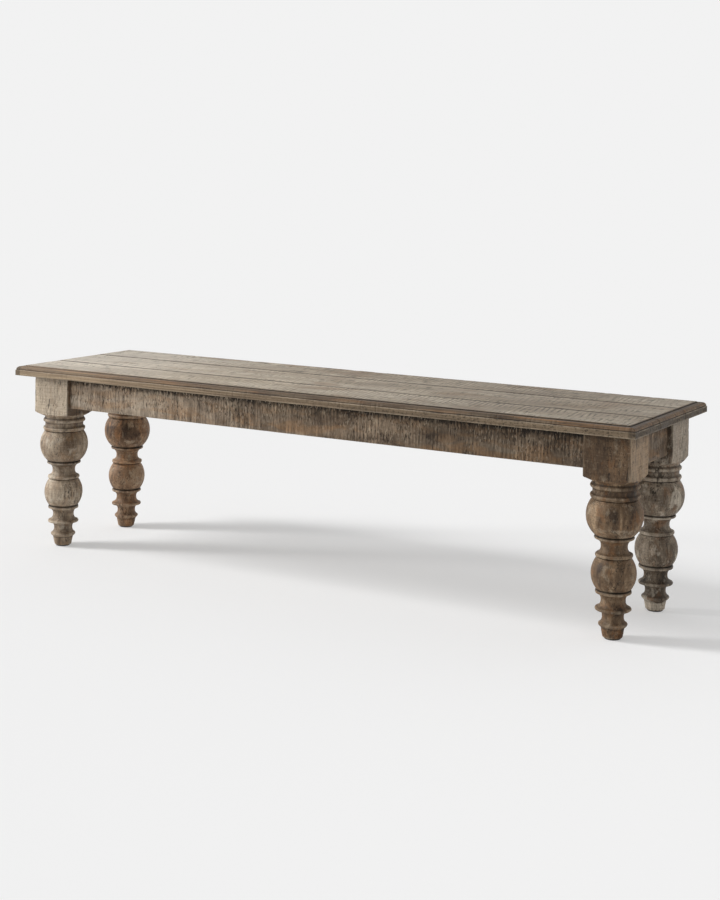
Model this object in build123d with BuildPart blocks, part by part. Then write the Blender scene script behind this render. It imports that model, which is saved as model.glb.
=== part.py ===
from build123d import *
import math
import os

os.makedirs("parts", exist_ok=True)

# Seat: three planks with a moulded edge, all sizes in millimetres
SEAT_LENGTH = 1600.0
SEAT_DEPTH = 440.0
SEAT_THICKNESS = 24.0
MIDDLE_PLANK_SHARE = 0.355
SEAM_BEVEL = 1.2
FIELD_INSET = 17.0
FIELD_STEP = 2.2
OVOLO_HEIGHT = 8.0
OVOLO_RADIUS = 7.6
QUIRK = 1.2

# Splines between the planks
SPLINE_WIDTH = 20.0
SPLINE_THICKNESS = 6.0
SPLINE_STOP = 45.0
SPLINE_RISE = 8.0

# Legs: where they stand and their square heads
LEG_SQUARE = 102.0
END_OVERHANG = 25.0
SIDE_OVERHANG = 44.0
HEAD_HEIGHT = 103.0
POMMEL_RISE = 11.0

# Legs: the turning, from the floor up
GLIDE_THICKNESS = 3.0
FOOT_HEIGHT = 20.0
FOOT_ROUND = 2.5
FOOT_LOW_RADIUS = 21.0
FOOT_HIGH_RADIUS = 24.4
ANKLE_SLOPE = 4.5
ANKLE_RING_RADIUS = 29.9
ANKLE_RING_HEIGHT = 5.0
LOW_WAIST_RADIUS = 22.4
LOW_WAIST_LOWER = 11.0
LOW_WAIST_UPPER = 12.5
DISC_RADIUS = 37.4
DISC_HEIGHT = 5.0
MIDDLE_WAIST_RADIUS = 25.4
MIDDLE_WAIST_LOWER = 13.5
MIDDLE_WAIST_UPPER = 13.0
SHIN_RING_RADIUS = 37.2
SHIN_RING_HEIGHT = 6.0
SMALL_BALL_RADIUS = 46.5
SMALL_BALL_END = 35.5
SMALL_BALL_HEIGHT = 64.5
KNEE_RING_RADIUS = 38.6
KNEE_RING_HEIGHT = 6.2
HIGH_WAIST_RADIUS = 27.5
HIGH_WAIST_LOWER = 12.4
HIGH_WAIST_UPPER = 15.0
THIGH_RING_RADIUS = 41.2
THIGH_RING_HEIGHT = 5.0
LARGE_BALL_RADIUS = 58.6
LARGE_BALL_LOW_END = 40.5
LARGE_BALL_HIGH_END = 47.5
LARGE_BALL_HEIGHT = 73.3
LARGE_BALL_RISE = 39.5
COLLAR_SLOPE = 2.3
COLLAR_RADIUS = 51.2
COLLAR_HEIGHT = 6.0
COLLAR_COVE_RADIUS = 46.2
COLLAR_COVE_HALF = 5.4
HEAD_NECK_RADIUS = 47.3
HEAD_NECK_SLOPE = 3.2
HEAD_NECK_HEIGHT = 4.0
WAIST_LAND = 3.0
BEAD_DROP = 1.0
GROOVE_WIDTH = 2.2
GROOVE_DEPTH = 2.4

# Aprons and their tenons
APRON_HEIGHT = 78.0
APRON_THICKNESS = 25.0
APRON_SETBACK = 13.0
TENON_THICKNESS = 10.0
TENON_LENGTH = 30.0
TENON_SHOULDER = 10.0

# Corner blocks, with their bolts and screws
BLOCK_THICKNESS = 28.0
BLOCK_GAP = 20.0
BLOCK_HEIGHT = 56.0
BOLT_DIAMETER = 8.0
BOLT_GRIP_IN_LEG = 45.0
BOLT_TAIL = 5.0
BOLT_POINT = 6.0
BOLT_TIP_DIAMETER = 2.0
WASHER_DIAMETER = 20.0
WASHER_THICKNESS = 1.8
NUT_WIDTH = 13.0
NUT_HEIGHT = 6.5
BLOCK_SCREW_INSET = 17.0
BLOCK_SCREW_SPACING = 32.0
BLOCK_SCREW_SEAT = 10.0
BLOCK_SCREW_BITE = 17.0
COUNTERBORE_DIAMETER = 10.0

# Cross battens under the planks
BATTEN_SPACING = 430.0
BATTEN_WIDTH = 60.0
BATTEN_THICKNESS = 22.0
BATTEN_LET_IN = 8.0
BATTEN_SCREW_NEAR_SHARE = 0.3
BATTEN_SCREW_FAR_SHARE = 0.76
BATTEN_SCREW_MIDDLE_SHARE = 0.5

# Clips that hold the planks down to the long aprons
CLIP_PAST_BATTEN = 110.0
CLIP_WIDTH = 24.0
CLIP_SHEET = 1.6
CLIP_DROP = 12.0
CLIP_TONGUE = 8.0
CLIP_STANDOFF = 6.0
CLIP_PLATE = 22.0

# Wood screws and glide nails
SCREW_DIAMETER = 4.0
SCREW_HEAD_DIAMETER = 8.0
SCREW_HEAD_HEIGHT = 2.4
SCREW_HEAD_ROUND = 1.4
SCREW_POINT = 4.0
SCREW_BITE = 15.0
GLIDE_RADIUS = 17.0
GLIDE_EDGE = 0.8
NAIL_DIAMETER = 2.4
NAIL_LENGTH = 12.0

# Clearances: a glue line in the joints, and room round metal
GLUE_LINE = 0.15
METAL_ROOM = 0.15

# Levels and places that follow from the sizes above
TURNING_BOTTOM = GLIDE_THICKNESS
SEAT_BOTTOM = sum(
    (
        TURNING_BOTTOM,
        FOOT_HEIGHT,
        ANKLE_SLOPE,
        ANKLE_RING_HEIGHT,
        LOW_WAIST_LOWER + WAIST_LAND + LOW_WAIST_UPPER,
        DISC_HEIGHT,
        MIDDLE_WAIST_LOWER + WAIST_LAND + MIDDLE_WAIST_UPPER,
        SHIN_RING_HEIGHT,
        GROOVE_WIDTH,
        SMALL_BALL_HEIGHT,
        GROOVE_WIDTH,
        KNEE_RING_HEIGHT,
        HIGH_WAIST_LOWER + WAIST_LAND + HIGH_WAIST_UPPER,
        THIGH_RING_HEIGHT,
        GROOVE_WIDTH,
        LARGE_BALL_HEIGHT,
        GROOVE_WIDTH,
        COLLAR_SLOPE,
        COLLAR_HEIGHT,
        2 * COLLAR_COVE_HALF + WAIST_LAND,
        COLLAR_HEIGHT,
        HEAD_NECK_SLOPE,
        HEAD_NECK_HEIGHT,
        HEAD_HEIGHT,
    )
)
HEAD_BOTTOM = SEAT_BOTTOM - HEAD_HEIGHT
SEAT_TOP = SEAT_BOTTOM + SEAT_THICKNESS
SHELF_LEVEL = SEAT_TOP - FIELD_STEP
BAND_TOP = SHELF_LEVEL - OVOLO_HEIGHT
APRON_BOTTOM = SEAT_BOTTOM - APRON_HEIGHT
APRON_MIDDLE = SEAT_BOTTOM - APRON_HEIGHT / 2
LEG_X = SEAT_LENGTH / 2 - END_OVERHANG - LEG_SQUARE / 2
LEG_Y = SEAT_DEPTH / 2 - SIDE_OVERHANG - LEG_SQUARE / 2
HEAD_CORNER_RADIUS = LEG_SQUARE / 2 * math.sqrt(2)
LEG_INNER_X = LEG_X - LEG_SQUARE / 2
LEG_INNER_Y = LEG_Y - LEG_SQUARE / 2
LONG_APRON_OUTSIDE = LEG_Y + LEG_SQUARE / 2 - APRON_SETBACK
LONG_APRON_INSIDE = LONG_APRON_OUTSIDE - APRON_THICKNESS
LONG_APRON_MIDDLE = LONG_APRON_OUTSIDE - APRON_THICKNESS / 2
END_APRON_OUTSIDE = LEG_X + LEG_SQUARE / 2 - APRON_SETBACK
END_APRON_INSIDE = END_APRON_OUTSIDE - APRON_THICKNESS
END_APRON_MIDDLE = END_APRON_OUTSIDE - APRON_THICKNESS / 2
TENON_HEIGHT = APRON_HEIGHT - 2 * TENON_SHOULDER
MORTISE_THICKNESS = TENON_THICKNESS + 2 * GLUE_LINE
MORTISE_HEIGHT = TENON_HEIGHT + 2 * GLUE_LINE
MORTISE_DEPTH = TENON_LENGTH + GLUE_LINE
SEAM_Y = MIDDLE_PLANK_SHARE * SEAT_DEPTH / 2
SPLINE_LEVEL = SEAT_BOTTOM + SPLINE_RISE + SPLINE_THICKNESS / 2
BATTEN_BOTTOM = SEAT_BOTTOM - BATTEN_THICKNESS
BATTEN_PLACES = (-BATTEN_SPACING, 0.0, BATTEN_SPACING)
BATTEN_SCREW_LENGTH = BATTEN_THICKNESS + SCREW_BITE
CLIP_FAR = BATTEN_SPACING + CLIP_PAST_BATTEN
CLIP_PLACES = (-CLIP_FAR, -BATTEN_SPACING / 2, BATTEN_SPACING / 2, CLIP_FAR)
CLIP_LEVEL = SEAT_BOTTOM - CLIP_DROP
CLIP_SCREW_Y = LONG_APRON_INSIDE - CLIP_STANDOFF - CLIP_PLATE / 2
BLOCK_BOTTOM = APRON_MIDDLE - BLOCK_HEIGHT / 2
SCREW_HOLE_RADIUS = SCREW_DIAMETER / 2 + METAL_ROOM
BOLT_HOLE_RADIUS = BOLT_DIAMETER / 2 + METAL_ROOM

# The four corners: a name, and the side of the middle on which each lies along X and Y
CORNERS = {
    "front_left": (-1, -1),
    "front_right": (1, -1),
    "rear_left": (-1, 1),
    "rear_right": (1, 1),
}

# The sums of X and Y along a corner block's two long faces: the two blocks at one end of the frame leave
# a gap between them, and each leg's inner corner is cut back to its block
INNER_SUM = END_APRON_INSIDE + BLOCK_GAP / 2
CUT_SUM = INNER_SUM + BLOCK_THICKNESS * math.sqrt(2)
LEG_CHAMFER = CUT_SUM - LEG_INNER_X - LEG_INNER_Y
CUT_MIDDLE_X = LEG_INNER_X + LEG_CHAMFER / 2
CUT_MIDDLE_Y = LEG_INNER_Y + LEG_CHAMFER / 2


def save(piece, name):
    """Labels a finished piece and writes it under its own name."""
    piece.label = name
    export_step(piece, f"parts/{name}.step")


def plank(name, y_low, y_high, moulded_low, moulded_high):
    """One seat plank: square band, ovolo and raised field, with a bevel and a spline groove at each seam."""
    half = SEAT_LENGTH / 2

    def footprint(inset):
        low = y_low + inset * moulded_low
        high = y_high - inset * moulded_high
        with Locations((0, (low + high) / 2)):
            Rectangle(2 * (half - inset), high - low)

    with BuildPart() as piece:
        with BuildSketch(Plane.XY.offset(BAND_TOP)):
            footprint(QUIRK)
        extrude(amount=OVOLO_HEIGHT)
        rim = piece.edges().group_by(Axis.Z)[-1]
        seams = [y for y, moulded in ((y_low, moulded_low), (y_high, moulded_high)) if not moulded]
        rounded = [e for e in rim if all(abs(e.center().Y - y) > QUIRK for y in seams)]
        fillet(rounded, OVOLO_RADIUS)
        with BuildSketch(Plane.XY.offset(SEAT_BOTTOM)):
            footprint(0)
        extrude(amount=SEAT_THICKNESS - FIELD_STEP - OVOLO_HEIGHT)
        with BuildSketch(Plane.XY.offset(SHELF_LEVEL)):
            footprint(FIELD_INSET)
        extrude(amount=FIELD_STEP)
        top = piece.edges().group_by(Axis.Z)[-1]
        bevelled = [e for e in top if any(abs(e.center().Y - y) < QUIRK for y in seams)]
        chamfer(bevelled, SEAM_BEVEL)
        for y in seams:
            with Locations((0, y, SPLINE_LEVEL)):
                Box(
                    SEAT_LENGTH - 2 * SPLINE_STOP,
                    SPLINE_WIDTH + 2 * GLUE_LINE,
                    SPLINE_THICKNESS + 2 * GLUE_LINE,
                    mode=Mode.SUBTRACT,
                )
        holes = [(x, y) for x, y in batten_screw_places() + clip_screw_places() if y_low < y < y_high]
        with Locations(*[(x, y, SEAT_BOTTOM) for x, y in holes]):
            Cylinder(
                SCREW_HOLE_RADIUS,
                SCREW_BITE + METAL_ROOM,
                align=(Align.CENTER, Align.CENTER, Align.MIN),
                mode=Mode.SUBTRACT,
            )
    save(piece.part, name)


def batten_screw_places():
    """Where the battens are screwed to the planks: two screws in each plank."""
    outer_room = LONG_APRON_INSIDE - SEAM_Y
    outer_near = SEAM_Y + BATTEN_SCREW_NEAR_SHARE * outer_room
    outer_far = SEAM_Y + BATTEN_SCREW_FAR_SHARE * outer_room
    middle = BATTEN_SCREW_MIDDLE_SHARE * SEAM_Y
    rows = (-outer_far, -outer_near, -middle, middle, outer_near, outer_far)
    return [(x, y) for x in BATTEN_PLACES for y in rows]


def clip_screw_places():
    """Where the clips are screwed to the planks, along both long aprons."""
    return [(x, side * CLIP_SCREW_Y) for side in (-1, 1) for x in CLIP_PLACES]


def block_screw_planes(side_x, side_y):
    """Seats of one corner block's screws: each plane's Z points from the head into the apron."""
    levels = (APRON_MIDDLE - BLOCK_SCREW_SPACING / 2, APRON_MIDDLE + BLOCK_SCREW_SPACING / 2)
    along_long = INNER_SUM - LONG_APRON_INSIDE + BLOCK_SCREW_INSET
    along_end = INNER_SUM - END_APRON_INSIDE + BLOCK_SCREW_INSET
    planes = []
    for z in levels:
        seat_y = LONG_APRON_INSIDE - BLOCK_SCREW_SEAT
        planes.append(Plane((side_x * along_long, side_y * seat_y, z), z_dir=(0, side_y, 0)))
        seat_x = END_APRON_INSIDE - BLOCK_SCREW_SEAT
        planes.append(Plane((side_x * seat_x, side_y * along_end, z), z_dir=(side_x, 0, 0)))
    return planes


def bolt_plane(side_x, side_y):
    """The middle of a leg's cut corner, with Z pointing into the leg."""
    origin = (side_x * CUT_MIDDLE_X, side_y * CUT_MIDDLE_Y, APRON_MIDDLE)
    return Plane(origin, x_dir=(0, 0, 1), z_dir=(side_x, side_y, 0))


def bead(z, radius, height):
    """A rounded ring on the turning."""
    shoulder = radius - BEAD_DROP
    ThreePointArc((shoulder, z), (radius, z + height / 2), (shoulder, z + height))
    return z + height


def waist(z, below, radius, lower, upper, above):
    """A narrow place between two rings: a hollow, a short straight and a second hollow."""
    land_low = z + lower
    land_high = land_low + WAIST_LAND
    TangentArc((radius, land_low), (below - BEAD_DROP, z), tangent=(0, -1))
    Line((radius, land_low), (radius, land_high))
    TangentArc((radius, land_high), (above - BEAD_DROP, land_high + upper), tangent=(0, 1))
    return land_high + upper


def groove(z, below, above):
    """A narrow V cut where a ball meets a ring."""
    floor = min(below, above) - GROOVE_DEPTH
    Polyline((below, z), (floor, z + GROOVE_WIDTH / 2), (above, z + GROOVE_WIDTH))
    return z + GROOVE_WIDTH


def ball(z, below, radius, above, rise, height):
    """A ball between two grooves, widest at its rise."""
    ThreePointArc((below, z), (radius, z + rise), (above, z + height))
    return z + height


def turning_outline():
    """The turned half section of a leg, from the foot's underside to the underside of its head."""
    foot_top = TURNING_BOTTOM + FOOT_HEIGHT
    foot_side = (FOOT_LOW_RADIUS, TURNING_BOTTOM + FOOT_ROUND)
    foot_edge = (FOOT_LOW_RADIUS - FOOT_ROUND, TURNING_BOTTOM)
    Line((0, TURNING_BOTTOM), foot_edge)
    TangentArc(foot_edge, foot_side, tangent=(1, 0))
    Line(foot_side, (FOOT_HIGH_RADIUS, foot_top))
    z = foot_top + ANKLE_SLOPE
    Line((FOOT_HIGH_RADIUS, foot_top), (ANKLE_RING_RADIUS - BEAD_DROP, z))
    z = bead(z, ANKLE_RING_RADIUS, ANKLE_RING_HEIGHT)
    z = waist(z, ANKLE_RING_RADIUS, LOW_WAIST_RADIUS, LOW_WAIST_LOWER, LOW_WAIST_UPPER, DISC_RADIUS)
    z = bead(z, DISC_RADIUS, DISC_HEIGHT)
    z = waist(z, DISC_RADIUS, MIDDLE_WAIST_RADIUS, MIDDLE_WAIST_LOWER, MIDDLE_WAIST_UPPER, SHIN_RING_RADIUS)
    z = bead(z, SHIN_RING_RADIUS, SHIN_RING_HEIGHT)
    z = groove(z, SHIN_RING_RADIUS - BEAD_DROP, SMALL_BALL_END)
    small_rise = SMALL_BALL_HEIGHT / 2
    z = ball(z, SMALL_BALL_END, SMALL_BALL_RADIUS, SMALL_BALL_END, small_rise, SMALL_BALL_HEIGHT)
    z = groove(z, SMALL_BALL_END, KNEE_RING_RADIUS - BEAD_DROP)
    z = bead(z, KNEE_RING_RADIUS, KNEE_RING_HEIGHT)
    z = waist(z, KNEE_RING_RADIUS, HIGH_WAIST_RADIUS, HIGH_WAIST_LOWER, HIGH_WAIST_UPPER, THIGH_RING_RADIUS)
    z = bead(z, THIGH_RING_RADIUS, THIGH_RING_HEIGHT)
    z = groove(z, THIGH_RING_RADIUS - BEAD_DROP, LARGE_BALL_LOW_END)
    z = ball(z, LARGE_BALL_LOW_END, LARGE_BALL_RADIUS, LARGE_BALL_HIGH_END, LARGE_BALL_RISE, LARGE_BALL_HEIGHT)
    collar_low = COLLAR_RADIUS - BEAD_DROP
    slope_start = collar_low - COLLAR_SLOPE / 2
    z = groove(z, LARGE_BALL_HIGH_END, slope_start)
    Line((slope_start, z), (collar_low, z + COLLAR_SLOPE))
    z = bead(z + COLLAR_SLOPE, COLLAR_RADIUS, COLLAR_HEIGHT)
    z = waist(z, COLLAR_RADIUS, COLLAR_COVE_RADIUS, COLLAR_COVE_HALF, COLLAR_COVE_HALF, COLLAR_RADIUS)
    z = bead(z, COLLAR_RADIUS, COLLAR_HEIGHT)
    neck_low = (HEAD_NECK_RADIUS, z + HEAD_NECK_SLOPE)
    Line((collar_low, z), neck_low)
    Line(neck_low, (HEAD_NECK_RADIUS, HEAD_BOTTOM))
    Polyline((HEAD_NECK_RADIUS, HEAD_BOTTOM), (0, HEAD_BOTTOM), (0, TURNING_BOTTOM))


def leg(name, side_x, side_y):
    """One leg: square head with a turned pommel, the turning below, two mortises, a cut corner and holes."""
    x = side_x * LEG_X
    y = side_y * LEG_Y
    axis = Axis((x, y, 0), (0, 0, 1))
    half_section = Plane((x, y, 0), x_dir=(1, 0, 0), z_dir=(0, -1, 0))
    with BuildPart() as piece:
        with BuildSketch(Plane((x, y, HEAD_BOTTOM))):
            Rectangle(LEG_SQUARE, LEG_SQUARE)
        extrude(amount=HEAD_HEIGHT)
        with BuildSketch(half_section):
            with BuildLine():
                Polyline(
                    (0, HEAD_BOTTOM),
                    (HEAD_NECK_RADIUS, HEAD_BOTTOM),
                    (HEAD_CORNER_RADIUS, HEAD_BOTTOM + POMMEL_RISE),
                    (LEG_SQUARE, HEAD_BOTTOM + POMMEL_RISE),
                    (LEG_SQUARE, SEAT_BOTTOM),
                    (0, SEAT_BOTTOM),
                    close=True,
                )
            make_face()
        revolve(axis=axis, mode=Mode.INTERSECT)
        with BuildSketch(half_section):
            with BuildLine():
                turning_outline()
            make_face()
        revolve(axis=axis)
        inner_x = side_x * LEG_INNER_X
        inner_y = side_y * LEG_INNER_Y
        with BuildSketch(Plane.XY.offset(APRON_BOTTOM)):
            with BuildLine():
                Polyline(
                    (inner_x, inner_y),
                    (inner_x + side_x * LEG_CHAMFER, inner_y),
                    (inner_x, inner_y + side_y * LEG_CHAMFER),
                    close=True,
                )
            make_face()
        extrude(amount=APRON_HEIGHT, mode=Mode.SUBTRACT)
        with Locations((inner_x, side_y * LONG_APRON_MIDDLE, APRON_MIDDLE)):
            Box(2 * MORTISE_DEPTH, MORTISE_THICKNESS, MORTISE_HEIGHT, mode=Mode.SUBTRACT)
        with Locations((side_x * END_APRON_MIDDLE, inner_y, APRON_MIDDLE)):
            Box(MORTISE_THICKNESS, 2 * MORTISE_DEPTH, MORTISE_HEIGHT, mode=Mode.SUBTRACT)
        with BuildSketch(bolt_plane(side_x, side_y)):
            Circle(BOLT_HOLE_RADIUS)
        extrude(amount=BOLT_GRIP_IN_LEG + METAL_ROOM, mode=Mode.SUBTRACT)
        with BuildSketch(Plane((x, y, TURNING_BOTTOM))):
            Circle(NAIL_DIAMETER / 2 + METAL_ROOM)
        extrude(amount=NAIL_LENGTH + METAL_ROOM, mode=Mode.SUBTRACT)
    save(piece.part, name)


def foot_glide(name, side_x, side_y):
    """A hard disc with a nail, under one leg."""
    place = Plane((side_x * LEG_X, side_y * LEG_Y, 0))
    with BuildPart() as piece:
        with BuildSketch(place):
            Circle(GLIDE_RADIUS)
        extrude(amount=GLIDE_THICKNESS)
        chamfer(piece.edges().group_by(Axis.Z)[0], GLIDE_EDGE)
        with BuildSketch(place.offset(GLIDE_THICKNESS)):
            Circle(NAIL_DIAMETER / 2)
        extrude(amount=NAIL_LENGTH)
    save(piece.part, name)


def long_apron(name, side_y):
    """A front or rear apron with tenons, notches for the battens, clip slots and screw holes."""
    y = side_y * LONG_APRON_MIDDLE
    inside = side_y * LONG_APRON_INSIDE
    with BuildPart() as piece:
        with Locations((0, y, APRON_MIDDLE)):
            Box(2 * LEG_INNER_X, APRON_THICKNESS, APRON_HEIGHT)
            Box(2 * (LEG_INNER_X + TENON_LENGTH), TENON_THICKNESS, TENON_HEIGHT)
        with Locations(*[(x, inside, SEAT_BOTTOM - BATTEN_THICKNESS / 2) for x in BATTEN_PLACES]):
            Box(
                BATTEN_WIDTH + 2 * GLUE_LINE,
                2 * (BATTEN_LET_IN + GLUE_LINE),
                BATTEN_THICKNESS + 2 * GLUE_LINE,
                mode=Mode.SUBTRACT,
            )
        with Locations(*[(x, inside, CLIP_LEVEL) for x in CLIP_PLACES]):
            Box(
                CLIP_WIDTH + 2 * METAL_ROOM,
                2 * (CLIP_TONGUE + METAL_ROOM),
                CLIP_SHEET + 2 * METAL_ROOM,
                mode=Mode.SUBTRACT,
            )
        for side_x in (-1, 1):
            for plane in block_screw_planes(side_x, side_y)[0::2]:
                with BuildSketch(plane.offset(BLOCK_SCREW_SEAT)):
                    Circle(SCREW_HOLE_RADIUS)
                extrude(amount=BLOCK_SCREW_BITE + METAL_ROOM, mode=Mode.SUBTRACT)
    save(piece.part, name)


def end_apron(name, side_x):
    """A left or right apron with tenons and screw holes."""
    with BuildPart() as piece:
        with Locations((side_x * END_APRON_MIDDLE, 0, APRON_MIDDLE)):
            Box(APRON_THICKNESS, 2 * LEG_INNER_Y, APRON_HEIGHT)
            Box(TENON_THICKNESS, 2 * (LEG_INNER_Y + TENON_LENGTH), TENON_HEIGHT)
        for side_y in (-1, 1):
            for plane in block_screw_planes(side_x, side_y)[1::2]:
                with BuildSketch(plane.offset(BLOCK_SCREW_SEAT)):
                    Circle(SCREW_HOLE_RADIUS)
                extrude(amount=BLOCK_SCREW_BITE + METAL_ROOM, mode=Mode.SUBTRACT)
    save(piece.part, name)


def corner_block(name, side_x, side_y):
    """A block across one corner of the frame, bored for its bolt and its screws."""
    corners = (
        (CUT_SUM - LONG_APRON_INSIDE, LONG_APRON_INSIDE),
        (END_APRON_INSIDE, CUT_SUM - END_APRON_INSIDE),
        (END_APRON_INSIDE, INNER_SUM - END_APRON_INSIDE),
        (INNER_SUM - LONG_APRON_INSIDE, LONG_APRON_INSIDE),
    )
    with BuildPart() as piece:
        with BuildSketch(Plane.XY.offset(BLOCK_BOTTOM)):
            with BuildLine():
                Polyline(*[(side_x * x, side_y * y) for x, y in corners], close=True)
            make_face()
        extrude(amount=BLOCK_HEIGHT)
        with BuildSketch(bolt_plane(side_x, side_y)):
            Circle(BOLT_HOLE_RADIUS)
        extrude(amount=-BLOCK_THICKNESS, mode=Mode.SUBTRACT)
        for plane in block_screw_planes(side_x, side_y):
            with BuildSketch(plane):
                Circle(SCREW_HOLE_RADIUS)
            extrude(amount=BLOCK_SCREW_SEAT, mode=Mode.SUBTRACT)
            with BuildSketch(plane):
                Circle(COUNTERBORE_DIAMETER / 2)
            extrude(amount=-BLOCK_THICKNESS, mode=Mode.SUBTRACT)
    save(piece.part, name)


def wood_screw(length):
    """A pan-head screw: head below its seat at Z = 0, shank and point above."""
    shank = SCREW_DIAMETER / 2
    head = SCREW_HEAD_DIAMETER / 2
    rim = (head, SCREW_HEAD_ROUND - SCREW_HEAD_HEIGHT)
    crown = (head - SCREW_HEAD_ROUND, -SCREW_HEAD_HEIGHT)
    with BuildPart() as screw:
        with BuildSketch(Plane.XZ):
            with BuildLine():
                Polyline((0, length), (shank, length - SCREW_POINT), (shank, 0), (head, 0), rim)
                TangentArc(rim, crown, tangent=(0, -1))
                Polyline(crown, (0, -SCREW_HEAD_HEIGHT), (0, length))
            make_face()
        revolve(axis=Axis.Z)
    return screw.part


def screw_group(name, length, places):
    """Identical screws, one at each place."""
    screw = wood_screw(length)
    with BuildPart() as group:
        with Locations(*places):
            add(screw)
    save(group.part, name)


def hanger_bolts():
    """The bolts, washers and nuts that draw the legs against the corner blocks."""
    inner_face = -BLOCK_THICKNESS
    tail = inner_face - WASHER_THICKNESS - NUT_HEIGHT - BOLT_TAIL
    with BuildPart() as bolts:
        for side_x, side_y in CORNERS.values():
            place = bolt_plane(side_x, side_y)
            with BuildSketch(place.offset(tail)):
                Circle(BOLT_DIAMETER / 2)
            extrude(amount=BOLT_GRIP_IN_LEG - BOLT_POINT - tail)
            with BuildSketch(place.offset(BOLT_GRIP_IN_LEG - BOLT_POINT)):
                Circle(BOLT_DIAMETER / 2)
            with BuildSketch(place.offset(BOLT_GRIP_IN_LEG)):
                Circle(BOLT_TIP_DIAMETER / 2)
            loft()
    save(bolts.part, "hanger_bolts")
    with BuildPart() as washers:
        for side_x, side_y in CORNERS.values():
            with BuildSketch(bolt_plane(side_x, side_y).offset(inner_face - WASHER_THICKNESS)):
                Circle(WASHER_DIAMETER / 2)
                Circle(BOLT_HOLE_RADIUS, mode=Mode.SUBTRACT)
            extrude(amount=WASHER_THICKNESS)
    save(washers.part, "bolt_washers")
    with BuildPart() as nuts:
        for side_x, side_y in CORNERS.values():
            with BuildSketch(bolt_plane(side_x, side_y).offset(inner_face - WASHER_THICKNESS - NUT_HEIGHT)):
                RegularPolygon(NUT_WIDTH / 2, 6, major_radius=False)
                Circle(BOLT_HOLE_RADIUS, mode=Mode.SUBTRACT)
            extrude(amount=NUT_HEIGHT)
    save(nuts.part, "bolt_nuts")


def spline(name, seam_y):
    """A loose tongue in the grooves of two planks."""
    with BuildPart() as piece:
        with Locations((0, seam_y, SPLINE_LEVEL)):
            Box(SEAT_LENGTH - 2 * (SPLINE_STOP + GLUE_LINE), SPLINE_WIDTH, SPLINE_THICKNESS)
    save(piece.part, name)


def batten(name, x):
    """A cross batten under the planks, let into both long aprons and bored for its screws."""
    length = 2 * (LONG_APRON_INSIDE + BATTEN_LET_IN)
    with BuildPart() as piece:
        with Locations((x, 0, SEAT_BOTTOM - BATTEN_THICKNESS / 2)):
            Box(BATTEN_WIDTH, length, BATTEN_THICKNESS)
        with Locations(*[(at, y, BATTEN_BOTTOM) for at, y in batten_screw_places() if at == x]):
            Cylinder(
                SCREW_HOLE_RADIUS,
                BATTEN_THICKNESS,
                align=(Align.CENTER, Align.CENTER, Align.MIN),
                mode=Mode.SUBTRACT,
            )
    save(piece.part, name)


def clips():
    """Bent metal clips: a tongue in the apron's slot, a riser and a plate under the plank."""
    plate_top = SEAT_BOTTOM
    plate_bottom = SEAT_BOTTOM - CLIP_SHEET
    tongue_bottom = CLIP_LEVEL - CLIP_SHEET / 2
    tongue_top = CLIP_LEVEL + CLIP_SHEET / 2
    tip = LONG_APRON_INSIDE + CLIP_TONGUE
    riser_near = LONG_APRON_INSIDE - CLIP_STANDOFF + CLIP_SHEET
    riser_far = LONG_APRON_INSIDE - CLIP_STANDOFF
    plate_end = riser_far - CLIP_PLATE
    section = (
        (tip, tongue_bottom),
        (tip, tongue_top),
        (riser_near, tongue_top),
        (riser_near, plate_top),
        (plate_end, plate_top),
        (plate_end, plate_bottom),
        (riser_far, plate_bottom),
        (riser_far, tongue_bottom),
    )
    with BuildPart() as group:
        for side_y in (-1, 1):
            for x in CLIP_PLACES:
                with BuildSketch(Plane((x, 0, 0), x_dir=(0, 1, 0), z_dir=(1, 0, 0))):
                    with BuildLine():
                        Polyline(*[(side_y * y, z) for y, z in section], close=True)
                    make_face()
                extrude(amount=CLIP_WIDTH / 2, both=True)
        with Locations(*[(x, y, plate_bottom) for x, y in clip_screw_places()]):
            Cylinder(
                SCREW_HOLE_RADIUS,
                CLIP_SHEET,
                align=(Align.CENTER, Align.CENTER, Align.MIN),
                mode=Mode.SUBTRACT,
            )
    save(group.part, "seat_clips")


plank("seat_plank_front", -SEAT_DEPTH / 2, -SEAM_Y, True, False)
plank("seat_plank_middle", -SEAM_Y, SEAM_Y, False, False)
plank("seat_plank_rear", SEAM_Y, SEAT_DEPTH / 2, False, True)
spline("seam_spline_front", -SEAM_Y)
spline("seam_spline_rear", SEAM_Y)
for corner, (at_x, at_y) in CORNERS.items():
    leg(f"leg_{corner}", at_x, at_y)
    foot_glide(f"foot_glide_{corner}", at_x, at_y)
    corner_block(f"corner_block_{corner}", at_x, at_y)
long_apron("apron_front", -1)
long_apron("apron_rear", 1)
end_apron("apron_left", -1)
end_apron("apron_right", 1)
hanger_bolts()
screw_group(
    "corner_block_screws",
    BLOCK_SCREW_SEAT + BLOCK_SCREW_BITE,
    [plane.location for sides in CORNERS.values() for plane in block_screw_planes(*sides)],
)
for place_name, place_x in zip(("left", "centre", "right"), BATTEN_PLACES):
    batten(f"cross_batten_{place_name}", place_x)
screw_group("batten_screws", BATTEN_SCREW_LENGTH, [(x, y, BATTEN_BOTTOM) for x, y in batten_screw_places()])
clips()
screw_group("clip_screws", CLIP_SHEET + SCREW_BITE, [(x, y, SEAT_BOTTOM - CLIP_SHEET) for x, y in clip_screw_places()])
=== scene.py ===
import math

import bpy
import numpy as np
from mathutils import Matrix


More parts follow.
